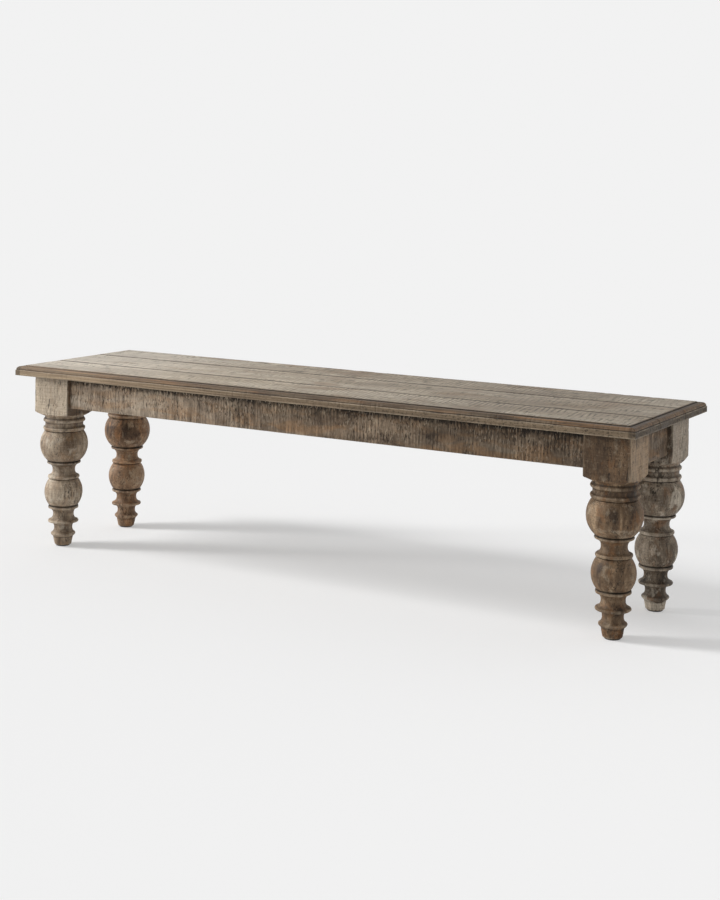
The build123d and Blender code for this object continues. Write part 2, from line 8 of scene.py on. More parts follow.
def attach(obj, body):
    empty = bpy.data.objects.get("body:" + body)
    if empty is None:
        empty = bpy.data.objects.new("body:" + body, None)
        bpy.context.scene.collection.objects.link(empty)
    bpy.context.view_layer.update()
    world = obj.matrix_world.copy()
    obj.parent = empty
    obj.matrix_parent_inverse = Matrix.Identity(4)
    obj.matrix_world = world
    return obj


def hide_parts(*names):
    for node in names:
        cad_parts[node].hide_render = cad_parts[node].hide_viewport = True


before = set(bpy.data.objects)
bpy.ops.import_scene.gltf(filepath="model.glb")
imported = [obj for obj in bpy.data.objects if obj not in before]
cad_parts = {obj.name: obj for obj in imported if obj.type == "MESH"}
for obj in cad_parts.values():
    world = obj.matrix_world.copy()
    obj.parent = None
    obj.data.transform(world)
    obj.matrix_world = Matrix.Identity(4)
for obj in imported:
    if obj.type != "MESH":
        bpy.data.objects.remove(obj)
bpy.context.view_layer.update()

MM = 0.001

# Sizes that the visible timber shares with the CAD solids, in millimetres
SEAT_LENGTH = 1600.0
SEAT_DEPTH = 440.0
SEAT_BOTTOM = 426.0
BAND_TOP = 439.8
SHELF = 447.8
SEAT_TOP = 450.0
SEAM_Y = 78.1
FIELD_INSET = 17.0
QUIRK = 1.2
OVOLO_RADIUS = 7.6
LEG_SQUARE = 102.0
LEG_X = 724.0
LEG_Y = 125.0
LEG_CUT = 39.6
HEAD_BOTTOM = 323.0
POMMEL_RISE = 11.0
NECK_RADIUS = 47.3
GLIDE = 3.0
FOOT_HEIGHT = 20.0
FOOT_ROUND = 2.5
WAIST_LAND = 3.0
BEAD_DROP = 1.0
GROOVE_WIDTH = 2.2
GROOVE_DEPTH = 2.4
APRON_HEIGHT = 78.0
APRON_THICKNESS = 25.0
APRON_SETBACK = 13.0
APRON_BOTTOM = SEAT_BOTTOM - APRON_HEIGHT
APRON_Y = LEG_Y + LEG_SQUARE / 2 - APRON_SETBACK - APRON_THICKNESS / 2
APRON_X = LEG_X + LEG_SQUARE / 2 - APRON_SETBACK - APRON_THICKNESS / 2
APRON_Z = SEAT_BOTTOM - APRON_HEIGHT / 2
LEG_INNER_X = LEG_X - LEG_SQUARE / 2
LEG_INNER_Y = LEG_Y - LEG_SQUARE / 2

# Mesh spacing, the grid of the weld, and the reach of a touch
SEAT_STEP = 3.2
APRON_STEP = 2.6
LEG_STEPS = 152
WELD_PER_MM = 200
TOUCH = 0.01

# Saw lines: their distance apart in metres, and their lean per metre
SAW_PITCH = 0.0115
SAW_SLANT = 0.14
APRON_SAW_PITCH = 0.0085


# Seeded noise for the shapes
def lattice(ix, iy, iz, seed):
    """A steady pseudo-random value from -1 to 1 for each whole place."""
    h = (ix * 374761393 + iy * 668265263 + iz * 1440662683 + seed * 1274126177) & 0xFFFFFFFF
    h = ((h ^ (h >> 13)) * 1103515245) & 0xFFFFFFFF
    h = ((h ^ (h >> 16)) * 668265263) & 0xFFFFFFFF
    return ((h ^ (h >> 15)) & 0xFFFFFF) / float(0x7FFFFF) - 1.0


def noise(points, size, seed):
    """Smooth noise from -1 to 1; size is the feature size along each axis."""
    q = points / np.asarray(size, float)
    base = np.floor(q).astype(np.int64)
    f = q - base
    f = f * f * (3 - 2 * f)
    total = np.zeros(len(points))
    for corner in np.ndindex(2, 2, 2):
        weight = np.prod(np.where(corner, f, 1 - f), axis=1)
        total += weight * lattice(*(base + corner).T, seed)
    return total


def layered(points, size, seed, octaves=3):
    """Noise with finer and weaker layers on top."""
    total = np.zeros(len(points))
    for k in range(octaves):
        total += noise(points, np.asarray(size, float) / 2**k, seed + 17 * k) / 2**k
    return total / 1.75


def clip01(a):
    return np.clip(a, 0.0, 1.0)


def bell(distance, width):
    return np.exp(-((distance / width) ** 2))


# Meshes
def new_piece(name, verts, faces, material, marks):
    """A mesh that stands for the CAD node of the same name, with its marks as attributes."""
    mesh = bpy.data.meshes.new(name)
    mesh.from_pydata((verts * MM).tolist(), [], faces)
    for key, values in marks.items():
        layer = mesh.attributes.new(key, "FLOAT", "POINT")
        layer.data.foreach_set("value", np.asarray(values, np.float32))
    mesh.shade_smooth()
    mesh.materials.append(material)
    piece = bpy.data.objects.new(name + "_timber", mesh)
    bpy.context.scene.collection.objects.link(piece)
    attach(piece, "root")
    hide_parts(name)


def grid_faces(rows, cols, wrap=False):
    """Quads of a grid numbered row by row; they face along columns cross rows."""
    i = np.arange(rows - 1)[:, None] * cols
    j = np.arange(cols if wrap else cols - 1)[None, :]
    k = (j + 1) % cols
    return np.stack([i + j, i + k, i + cols + k, i + cols + j], -1).reshape(-1, 4)


def grid_normals(pos):
    """Unit normals of a grid of points, along rows cross columns, as a list."""
    n = np.cross(np.gradient(pos, axis=0), np.gradient(pos, axis=1))
    return (n / np.maximum(np.linalg.norm(n, axis=-1, keepdims=True), 1e-9)).reshape(-1, 3)


def weld(verts, faces, marks):
    """Joins vertices that lie on one another and drops faces that fold to nothing."""
    keys = np.round(verts * WELD_PER_MM).astype(np.int64)
    _, first, inverse = np.unique(keys, axis=0, return_index=True, return_inverse=True)
    inverse = inverse.ravel()
    kept = []
    for face in faces:
        corners = [int(inverse[i]) for i in face]
        corners = [c for n, c in enumerate(corners) if c != corners[n - 1]]
        if len(corners) >= 3 and len(set(corners)) == len(corners):
            kept.append(corners)
    return verts[first], kept, {k: v[first] for k, v in marks.items()}


def bend_marks(profile, reach):
    """Hollow and proud places of a profile, from the turn at each point, spread over a short reach."""
    step = np.diff(profile, axis=0)
    heading = np.arctan2(step[:, 1], step[:, 0])
    turn = np.zeros(len(profile))
    turn[1:-1] = (np.diff(heading) + math.pi) % (2 * math.pi) - math.pi
    run = np.concatenate([[0], np.cumsum(np.hypot(step[:, 0], step[:, 1]))])
    total = bell(run[:, None] - run[None, :], reach) @ turn
    return clip01(total), clip01(-total)


# The seat's moulded edge: stretches of its outline, as inset and rise from a level of the seat
LOWER_ARRIS = ((0.9, 0.0), (0.25, 0.3), (0.0, 1.0))
BAND_ARRIS = ((0.15, -0.5), (0.6, -0.1), (QUIRK + 0.6, -0.3), (QUIRK + 0.7, 0.4))
SHELF_DIP = ((11.0, 0.0), (13.2, 0.0), (15.0, -0.2), (16.2, -1.1), (FIELD_INSET, -0.6))
FIELD_ARRIS = ((FIELD_INSET + 0.1, -1.0), (FIELD_INSET + 0.5, -0.3), (FIELD_INSET + 1.3, 0.0))


def moulding():
    """The outline of the moulded edge, as inset and height, from the lower edge up to the field."""
    rows = [(inset, SEAT_BOTTOM + rise) for inset, rise in LOWER_ARRIS]
    rows += [(0.0, z) for z in np.linspace(SEAT_BOTTOM + 3.5, BAND_TOP - 1.2, 5)]
    rows += [(inset, BAND_TOP + rise) for inset, rise in BAND_ARRIS]
    centre = QUIRK + OVOLO_RADIUS
    for a in np.radians(np.linspace(12, 90, 10)):
        rows.append((centre - OVOLO_RADIUS * math.cos(a), SHELF - OVOLO_RADIUS * (1 - math.sin(a))))
    rows += [(inset, SHELF + rise) for inset, rise in SHELF_DIP]
    rows += [(inset, SEAT_TOP + rise) for inset, rise in FIELD_ARRIS]
    return np.array(rows)


MOULDING = moulding()
INSET = MOULDING[:, 0]
FIELD = len(MOULDING)
# Going inward and up, a turn to the left is hollow
MOULD_GRIME_AND_SHADE, MOULD_PROUD = bend_marks(MOULDING, 1.2)
# A painted shadow line where the moulding steps up to the field, beside the grime in its bends
MOULD_GRIME_AND_SHADE = np.maximum(MOULD_GRIME_AND_SHADE, bell(INSET - FIELD_INSET + 0.2, 0.9))
# Insets of a moulding line at a corner: it stays inside every line between it and the one it meets
CORNER_INSET = np.array([[INSET[min(a, b) : b + 1].max() for b in range(FIELD)] for a in range(FIELD)])
# The eased edges at a seam, as distance from the seam and depth, and the wall below them
SEAM = ((3.6, 0.0), (2.8, 0.2), (1.9, 0.9), (1.0, 2.0), (0.3, 3.2), (0.0, 4.0))
SEAM_STAIN = 5.2
WALL_SHARES = (0.0, 0.25, 0.5, 0.75)
CORNER_EASE = 12.0


def edge_lines(edge, inward, moulded):
    """Lines of a plank's grid from an edge inward, over the moulding or out of a seam: place, rank, depth."""
    if moulded:
        return [(edge + inward * inset, rank, 0.0) for rank, inset in enumerate(INSET)]
    return [(edge + inward * distance, FIELD, depth) for distance, depth in reversed(SEAM)]


def grid_lines(low, high, moulded_low=True, moulded_high=True):
    """Arrays of the place, rank and depth of a grid's lines between two edges."""
    first = edge_lines(low, 1, moulded_low)
    last = edge_lines(high, -1, moulded_high)[::-1]
    start = first[-1][0]
    end = last[0][0]
    field = np.linspace(start, end, int((end - start) / SEAT_STEP))[1:-1]
    lines = first + [(place, FIELD, 0.0) for place in field] + last
    return [np.array(column) for column in zip(*lines)]


def drawn_in(own, other):
    """How far lines of the moulding move in where they meet lines of another rank."""
    known = np.minimum(own, FIELD - 1)
    inset = CORNER_INSET[np.minimum(other, known), known]
    return np.where((own < FIELD) & (other < own), inset - INSET[known], 0.0)


class PlankGrid:
    """A seat plank's grid, which runs over the moulding at outer edges and into a groove at seams."""

    def __init__(self, low, high, moulded_low, moulded_high):
        x, rank_x, _ = grid_lines(-SEAT_LENGTH / 2, SEAT_LENGTH / 2)
        y, rank_y, depth = grid_lines(low, high, moulded_low, moulded_high)
        self.x, self.y = np.meshgrid(x, y, indexing="ij")
        self.rank_x, self.rank_y = np.meshgrid(rank_x, rank_y, indexing="ij")
        self.middle = (low + high) / 2
        self.edges = ((low, moulded_low), (high, moulded_high))
        rank = np.minimum(self.rank_x, self.rank_y)
        self.row = np.minimum(rank, FIELD - 1)
        self.on_field = (rank == FIELD).ravel()
        self.depth = np.tile(depth, len(x)) * np.where(self.on_field, 1.0, 0.25)

    def drawn(self, rank_x, rank_y, height):
        """The grid's points, with the moulding's lines drawn in where they meet these ranks."""
        x = self.x - np.sign(self.x) * drawn_in(self.rank_x, rank_y)
        y = self.y - np.sign(self.y - self.middle) * drawn_in(self.rank_y, rank_x)
        return np.stack([x, y, height], -1)

    def marks(self):
        """Hollow and proud places of the moulding, with grime and painted shade in the low ones, and the
        stain along the seams.
        """
        grime_and_shade = np.where(self.on_field, 0.0, MOULD_GRIME_AND_SHADE[self.row].ravel())
        proud = np.where(self.on_field, 0.0, MOULD_PROUD[self.row].ravel())
        for edge, moulded in self.edges:
            if not moulded:
                stain = bell(np.abs(self.y - edge), SEAM_STAIN).ravel()
                grime_and_shade = np.maximum(grime_and_shade, np.where(self.on_field, stain, 0.35 * stain))
        return grime_and_shade, proud

    def wear_share(self):
        """All of the wear, down to none of it at the corners of the moulding."""
        end = clip01((SEAT_LENGTH / 2 - INSET[-1] - np.abs(self.x)) / CORNER_EASE)
        share = np.where(self.rank_y < FIELD, end, 1.0)
        for edge, moulded in self.edges:
            if moulded:
                side = clip01((np.abs(self.y - edge) - INSET[-1]) / CORNER_EASE)
                share *= np.where(self.rank_x < FIELD, side, 1.0)
        return share.ravel()


def plank_wear(points, on_field, proud, seed):
    """Low waves and saw ridges on the field, nicks and pits along the moulding."""
    slanted = points + points[:, 1:2] * np.array([SAW_SLANT, 0.0, 0.0])
    shown = clip01(0.6 + 0.8 * layered(points, (160, 60, 60), seed + 9, 2))
    saw = np.minimum(noise(slanted, (6.5, 90, 60), seed + 5), 0.25) * shown
    waves = layered(points, (260, 45, 60), seed)
    nick = clip01(layered(points, (22, 22, 9), seed + 21) * 2.2 - 0.55) * proud
    pit = clip01(noise(points, (4, 4, 4), seed + 3)) * ~on_field
    move = np.where(on_field, 0.35 * waves + 0.3 * saw, 0.12 * waves) - 1.6 * nick - 0.15 * pit
    return np.minimum(move, 0.12)


def seam_wall(sheet, under, side):
    """Lines that join the underside to the top at a seam, with the marks of the top's edge."""
    foot = np.concatenate([under[:, side], sheet[:, side, 3:]], -1)
    return np.stack([foot + (sheet[:, side] - foot) * share for share in WALL_SHARES], 1)


def plank(name, low, high, moulded_low, moulded_high, material, seed):
    """One seat plank: its worn top, a flat underside, and walls at its seams."""
    grid = PlankGrid(low, high, moulded_low, moulded_high)
    pos = grid.drawn(grid.rank_x, grid.rank_y, MOULDING[grid.row, 1])
    flat = pos.reshape(-1, 3)
    grime_and_shade, proud = grid.marks()
    move = plank_wear(flat, grid.on_field, proud, seed) * grid.wear_share() - grid.depth
    move = np.where(flat[:, 2] < SEAT_BOTTOM + TOUCH, 0.0, move)
    top = flat + grid_normals(pos) * move[:, None]
    top[:, 2] = np.maximum(top[:, 2], SEAT_BOTTOM)
    lowest = np.zeros_like(grid.row)
    under = grid.drawn(lowest, lowest, np.full(grid.x.shape, SEAT_BOTTOM))
    sheet = np.column_stack([top, grime_and_shade, proud, ~grid.on_field]).reshape(*pos.shape[:2], -1)
    if not moulded_low:
        sheet = np.concatenate([seam_wall(sheet, under, 0), sheet], 1)
    if not moulded_high:
        sheet = np.concatenate([sheet, seam_wall(sheet, under, -1)[:, ::-1]], 1)
    rows, cols = sheet.shape[:2]
    points = np.concatenate([sheet[..., :3].reshape(-1, 3), under.reshape(-1, 3)])
    marks = np.concatenate([sheet[..., 3:].reshape(-1, 3), np.zeros((under.size // 3, 3))])
    faces = grid_faces(rows, cols)[:, ::-1].tolist()
    faces += (grid_faces(*under.shape[:2]) + rows * cols).tolist()
    verts, faces, marks = weld(points, faces, dict(zip(("grime_and_shade", "proud", "edge"), marks.T)))
    new_piece(name, verts, faces, material, marks)


# The turned profile of a leg
FOOT_EDGE = ((0.0, 0.0), (10.0, 0.0), (18.5, 0.0), (20.0, 0.5), (20.8, 1.4), (21.0, FOOT_ROUND))


def arc_through(a, b, c, count):
    """Points on the circle through three points, from the first to the last."""
    (ax, ay), (bx, by), (cx, cy) = a, b, c
    d = 2 * (ax * (by - cy) + bx * (cy - ay) + cx * (ay - by))
    ox = ((ax**2 + ay**2) * (by - cy) + (bx**2 + by**2) * (cy - ay) + (cx**2 + cy**2) * (ay - by)) / d
    oy = ((ax**2 + ay**2) * (cx - bx) + (bx**2 + by**2) * (ax - cx) + (cx**2 + cy**2) * (bx - ax)) / d
    r = math.hypot(ax - ox, ay - oy)
    start = math.atan2(ay - oy, ax - ox)
    end = math.atan2(cy - oy, cx - ox)
    return [(ox + r * math.cos(t), oy + r * math.sin(t)) for t in np.linspace(start, end, count)]


def hollow_arc(land, ring):
    """Points on the arc that leaves the land upright and ends at the ring's shoulder."""
    dx = ring[0] - land[0]
    dz = ring[1] - land[1]
    r = (dx * dx + dz * dz) / (2 * dx)
    side = math.copysign(r, dz)
    angles = np.linspace(0, math.atan2(abs(dz), r - dx), 10)
    return [(land[0] + r - r * math.cos(t), land[1] + side * math.sin(t)) for t in angles]


class Turning:
    """A turned profile, as radius and height: each stretch goes up from where the last one ended."""

    def __init__(self, points):
        self.points = list(points)

    def line(self, radius, rise, count=1):
        r, z = self.points[-1]
        self.points += [(r + (radius - r) * t, z + rise * t) for t in np.linspace(0, 1, count + 1)[1:]]

    def ring(self, radius, height):
        edge = radius - BEAD_DROP
        z = self.points[-1][1]
        self.points += arc_through((edge, z), (radius, z + height / 2), (edge, z + height), 6)[1:]

    def waist(self, radius, lower, upper, above):
        start = self.points[-1]
        low = start[1] + lower
        high = low + WAIST_LAND
        self.points += hollow_arc((radius, low), start)[-2::-1]
        self.points += hollow_arc((radius, high), (above - BEAD_DROP, high + upper))

    def groove(self, above):
        below, z = self.points[-1]
        floor = min(below, above) - GROOVE_DEPTH
        for radius, share in ((floor + 0.4, 0.38), (floor, 0.5), (floor + 0.4, 0.62), (above, 1.0)):
            self.points.append((radius, z + share * GROOVE_WIDTH))

    def ball(self, radius, above, rise, height):
        start = self.points[-1]
        z = start[1]
        self.points += arc_through(start, (radius, z + rise), (above, z + height), 36)[1:]


def turned_leg():
    """The profile of a leg from the middle of its foot up to its square head."""
    t = Turning([(radius, GLIDE + rise) for radius, rise in FOOT_EDGE])
    t.line(24.4, FOOT_HEIGHT - FOOT_ROUND, 10)
    t.line(28.9, 4.5, 2)
    t.ring(29.9, 5.0)
    t.waist(22.4, 11.0, 12.5, 37.4)
    t.ring(37.4, 5.0)
    t.waist(25.4, 13.5, 13.0, 37.2)
    t.ring(37.2, 6.0)
    t.groove(35.5)
    t.ball(46.5, 35.5, 32.25, 64.5)
    t.groove(37.6)
    t.ring(38.6, 6.2)
    t.waist(27.5, 12.4, 15.0, 41.2)
    t.ring(41.2, 5.0)
    t.groove(40.5)
    t.ball(58.6, 47.5, 39.5, 73.3)
    t.groove(49.05)
    t.line(50.2, 2.3)
    t.ring(51.2, 6.0)
    t.waist(46.2, 5.4, 5.4, 51.2)
    t.ring(51.2, 6.0)
    t.line(NECK_RADIUS, 3.2, 2)
    t.line(NECK_RADIUS, HEAD_BOTTOM - t.points[-1][1], 2)
    return np.array(t.points)


TURNING = turned_leg()
TURNED = len(TURNING)
# Grime and painted shade that have spread, as height, reach and strength: under the two balls and above the
# collar's rings
GRIME_AND_SHADE_BANDS = ((100.6, 2.6, 1.0), (211.1, 2.6, 1.0), (297.2, 1.3, 0.6), (317.2, 1.3, 0.6))
# The small round on the head's arrises
HEAD_ARRIS = 1.8


def leg_bearings():
    """Bearings of the points round a leg: even steps, and closer ones beside the head's arrises."""
    near = np.radians((0.0, 0.35, 0.8, 1.4, 2.2, 3.2))
    arrises = np.concatenate([np.radians(45 + 90 * q) + s * near for q in range(4) for s in (-1, 1)])
    even = np.linspace(0, 2 * math.pi, LEG_STEPS, endpoint=False)
    apart = np.abs((even[:, None] - arrises[None, :] + math.pi) % (2 * math.pi) - math.pi)
    theta = np.concatenate([even[apart.min(axis=1) > 0.012], arrises % (2 * math.pi)])
    return np.unique(np.round(theta, 6))


THETA = leg_bearings()
COS = np.cos(THETA)
SIN = np.sin(THETA)


def head_square():
    """Radius of the leg's square head at each bearing, with its corners eased by a small round."""
    half = LEG_SQUARE / 2
    large = np.maximum(np.abs(COS), np.abs(SIN))
    small = np.minimum(np.abs(COS), np.abs(SIN))
    centre = half - HEAD_ARRIS
    toward = (large + small) * centre
    rounded = toward + np.sqrt(np.maximum(toward**2 - 2 * centre**2 + HEAD_ARRIS**2, 0))
    return np.where(half / large * small > centre, rounded, half / large)


def leg_rings(side_x, side_y):
    """Radius and height of a leg's rings of points; above the aprons' lower edge the inner corner is cut."""
    square = head_square()
    inward = -(side_x * COS + side_y * SIN) / math.sqrt(2)
    corner = (LEG_SQUARE - LEG_CUT) / math.sqrt(2) / np.maximum(inward, 0.2)
    cut = np.where(inward > 0.2, corner, np.inf)
    slope = (LEG_SQUARE / math.sqrt(2) - NECK_RADIUS) / POMMEL_RISE
    pommel = HEAD_BOTTOM + np.concatenate([np.linspace(0.7, POMMEL_RISE, 12), np.linspace(13, 24.8, 5)])
    above_cut = np.linspace(APRON_BOTTOM + 2.5, SEAT_BOTTOM - 1, 32)
    upper = np.concatenate([[APRON_BOTTOM], above_cut, [SEAT_BOTTOM]])
    radius = [np.full_like(THETA, r) for r in TURNING[:, 0]]
    radius += [np.minimum(square, NECK_RADIUS + slope * (z - HEAD_BOTTOM)) for z in pommel]
    radius += [np.minimum(square, cut)] * len(upper)
    height = np.concatenate([TURNING[:, 1], pommel, upper])
    return np.array(radius), np.repeat(height[:, None], len(THETA), 1)


def leg_bends(height):
    """Hollow and proud places of a leg: the bends of its profile, the arrises of its head, and grime with
    painted shade under the balls and above the collar's rings.
    """
    grime_and_shade = np.zeros(height.shape)
    proud = np.zeros(height.shape)
    grime_and_shade[:TURNED], proud[:TURNED] = (mark[:, None] for mark in bend_marks(TURNING[:, ::-1], 1.5))
    proud[TURNED:] = bell(np.abs(THETA % (math.pi / 2) - math.pi / 4), 0.035)
    for z, reach, strength in GRIME_AND_SHADE_BANDS:
        grime_and_shade = np.maximum(grime_and_shade, strength * bell(height - z, reach))
    return grime_and_shade.ravel(), proud.ravel()


def leg_wear(points, proud, seed):
    """Dents, fine upright lines, nicks on the rings, a chipped foot, and the checks along the grain."""
    z = points[:, 2]
    dents = layered(points, (26, 26, 60), seed)
    lines = noise(points, (3.2, 3.2, 45), seed + 12)
    check = (np.abs(layered(points, (7, 7, 130), seed + 31, 2)) < 0.035) * 1.0
    check *= clip01(layered(points, (30, 30, 70), seed + 40, 2) * 3 - 0.6)
    nick = clip01(layered(points, (13, 13, 8), seed + 21, 2) * 2.6 - 0.7) * proud
    chip = clip01(layered(points, (14, 14, 12), seed + 51, 2) * 2.0) * (z < GLIDE + FOOT_HEIGHT)
    move = 0.45 * dents + 0.14 * lines - 0.8 * check - 1.0 * nick - 0.7 * chip
    still = (z < GLIDE + TOUCH) | (z > SEAT_BOTTOM - TOUCH)
    return np.where(still, 0.0, np.minimum(move, 0.3)), check


def leg_tones(points, radius, face_light_and_shade, spots):
    """Tones of the head's faces, which are painted light and shade, then single spots."""
    tones = {kind: np.zeros(len(points)) for kind in ("tone", "rust", "pale", "rough")}
    bearing = np.tile(np.degrees(THETA), len(radius))
    on_head = points[:, 2] > HEAD_BOTTOM + POMMEL_RISE / 2
    # Each face of the head is painted lighter or darker for the light and shade that falls on it
    for facing, tone in face_light_and_shade.items():
        turn = (bearing - facing + 180) % 360 - 180
        tones["tone"] += tone * on_head * (np.abs(turn) < 45)
    for kind, z, facing, tall, wide, strength in spots:
        away = np.radians((bearing - facing + 180) % 360 - 180) * radius.ravel()
        tones[kind] += strength * bell(np.hypot((points[:, 2] - z) / tall, away / wide), 1.0)
    return tones


def leg(name, side_x, side_y, material, seed, face_light_and_shade, spots):
    """One leg, as rings of points that are closed by a face at the top."""
    radius, height = leg_rings(side_x, side_y)
    pos = np.stack([radius * COS, radius * SIN, height], -1)
    local = pos.reshape(-1, 3)
    grime_and_shade, proud = leg_bends(height)
    move, check = leg_wear(local, proud, seed)
    verts = local - grid_normals(pos) * move[:, None]
    verts[:, 2] = np.clip(verts[:, 2], GLIDE, SEAT_BOTTOM)
    verts += np.array([side_x * LEG_X, side_y * LEG_Y, 0.0])
    marks = {"grime_and_shade": np.maximum(grime_and_shade, 0.9 * check), "proud": proud}
    marks.update(leg_tones(local, radius, face_light_and_shade, spots))
    faces = grid_faces(*height.shape, wrap=True).tolist()
    faces.append(list(range(len(local) - len(THETA), len(local))))
    verts, faces, marks = weld(verts, faces, marks)
    new_piece(name, verts, faces, material, marks)


def eased_loop(thick, tall, ease, step):
    """Points round a board's section, with eased corners, turning left."""
    corners = []
    for turn, side, up in ((0, 1, 1), (90, -1, 1), (180, -1, -1), (270, 1, -1)):
        a = np.radians(turn + np.array([0, 30, 60, 90]))
        centre = np.array([side * (thick / 2 - ease), up * (tall / 2 - ease)])
        corners.append(centre + ease * np.stack([np.cos(a), np.sin(a)], 1))
    loop = []
    for corner, following in zip(corners, corners[1:] + corners[:1]):
        start = corner[-1]
        side = following[0] - start
        count = int(np.linalg.norm(side) / step)
        loop += [*corner, *(start + side * np.linspace(0, 1, count + 1)[1:-1, None])]
    return np.array(loop)


def apron_wear(points, seed):
    """Upright saw marks in patches, low waves, and nicks on the arrises, which are proud."""
    out = np.abs(np.abs(points[:, 1]) - APRON_THICKNESS / 2)
    up = np.abs(np.abs(points[:, 2]) - APRON_HEIGHT / 2)
    proud = bell(out + up, 2.2)
    saw = noise(points, (2.9, 40, 26), seed) + 0.6 * noise(points, (5.6, 40, 60), seed + 3)
    saw = np.minimum(saw, 0.3) * clip01(0.5 + 0.9 * layered(points, (150, 40, 60), seed + 8, 2))
    nick = clip01(layered(points, (20, 20, 9), seed + 21, 2) * 2.6 - 0.8) * proud
    move = 0.3 * saw + 0.2 * layered(points, (120, 40, 40), seed + 5, 2) - 1.2 * nick
    return np.minimum(move, 0.15), proud


def apron(name, along, place, half_length, outward, material, seed):
    """A board with eased edges, its faces rough from the saw."""
    loop = eased_loop(APRON_THICKNESS, APRON_HEIGHT, 1.4, APRON_STEP)
    run = np.linspace(-half_length, half_length, int(2 * half_length / APRON_STEP))
    shape = (len(run), len(loop))
    length = np.repeat(run[:, None], len(loop), 1)
    out, up = (np.repeat(c[None, :], len(run), 0) for c in loop.T)
    local = np.stack([length, out, up], -1).reshape(-1, 3)
    move, proud = apron_wear(local, seed)
    move = move.reshape(shape)
    move[[0, -1]] = 0.0
    tangent = np.roll(loop, -1, 0) - np.roll(loop, 1, 0)
    normal = np.stack([tangent[:, 1], -tangent[:, 0]], -1)
    normal /= np.linalg.norm(normal, axis=1, keepdims=True)
    out = outward * (out + move * normal[:, 0])
    up = np.minimum(up + move * normal[:, 1], APRON_HEIGHT / 2)
    order = (length, out, up) if along == "x" else (out, length, up)
    verts = np.stack(order, -1).reshape(-1, 3) + np.array(place)
    faces = grid_faces(*shape, wrap=True).tolist()
    faces += [list(range(len(loop)))[::-1], list(range(len(local) - len(loop), len(local)))]
    if (outward < 0) == (along == "x"):
        faces = [face[::-1] for face in faces]
    # Dents are darkened later by grime and painted shade
    marks = {"grime_and_shade": clip01(-move.ravel() * 3.0), "proud": proud}
    new_piece(name, verts, faces, material, marks)


# Node trees
def linear(r, g, b):
    """A colour for Blender from one written as 0 to 255."""

    def one(c):
        c /= 255.0
        return c / 12.92 if c <= 0.04045 else ((c + 0.055) / 1.055) ** 2.4

    return (one(r), one(g), one(b), 1.0)


class Nodes:
    """Short names for building a node tree."""

    def __init__(self, tree):
        self.tree = tree
        self.tree.nodes.clear()

    def put(self, socket, value):
        if isinstance(value, bpy.types.NodeSocket):
            self.tree.links.new(value, socket)
        else:
            socket.default_value = value

    def add(self, kind, *inputs, **named):
        """A new node; its inputs are given in their order or by name."""
        n = self.tree.nodes.new("ShaderNode" + kind)
        for socket, value in zip(n.inputs, inputs):
            self.put(socket, value)
        for name, value in named.items():
            self.put(n.inputs[name], value)
        return n

    def math(self, operation, a, b=0.0, kind="Math"):
        n = self.add(kind, a, b)
        n.operation = operation
        return n.outputs["Value"]

    def measure(self, operation, a, b):
        """A number from two vectors."""
        return self.math(operation, a, b, "VectorMath")

    def times(self, *values):
        total = values[0]
        for v in values[1:]:
            total = self.math("MULTIPLY", total, v)
        return total

    def plus(self, *values):
        total = values[0]
        for v in values[1:]:
            total = self.math("ADD", total, v)
        return total

    def weighted(self, *parts):
        """The sum of values, each with its weight."""
        return self.plus(*(self.times(value, weight) for value, weight in parts))

    def less(self, mask, amount):
        """One minus a share of the mask, for darkening."""
        return self.math("SUBTRACT", 1.0, self.math("MULTIPLY", mask, amount))

    def darkened(self, *parts):
        """One, less the share of each mask in turn; a negative share lightens."""
        return self.times(*(self.less(mask, amount) for mask, amount in parts))

    def span(self, value, low, high, to_low=0.0, to_high=1.0, kind="SMOOTHSTEP"):
        n = self.add("MapRange", value, low, high, to_low, to_high)
        n.interpolation_type = kind
        return n.outputs[0]

    def graded(self, *parts):
        """The product of values that are each mapped to a range of their own."""
        return self.times(*(self.span(*part) for part in parts))

    def over(self, value, level, soft):
        return self.span(value, level - soft, level + soft)

    def ramp(self, value, low, high, colours):
        """Colours at even steps from low to high."""
        n = self.add("ValToRGB", value)
        stops = n.color_ramp.elements
        while len(stops) < len(colours):
            stops.new(0.5)
        for stop, at, colour in zip(stops, np.linspace(low, high, len(colours)), colours):
            stop.position = at
            stop.color = linear(*colour)
        return n.outputs["Color"]

    def mix(self, factor, a, b, blend="MIX"):
        n = self.add("Mix")
        n.data_type = "RGBA"
        n.blend_type = blend
        n.clamp_factor = True
        self.put(n.inputs[0], factor)
        self.put(n.inputs[6], a)
        self.put(n.inputs[7], b)
        return n.outputs[2]

    def tint(self, factor, colour, toward):
        return self.mix(factor, colour, linear(*toward))

    def shaded(self, colour, shade):
        grey = self.add("CombineColor", shade, shade, shade)
        return self.mix(1.0, colour, grey.outputs[0], "MULTIPLY")


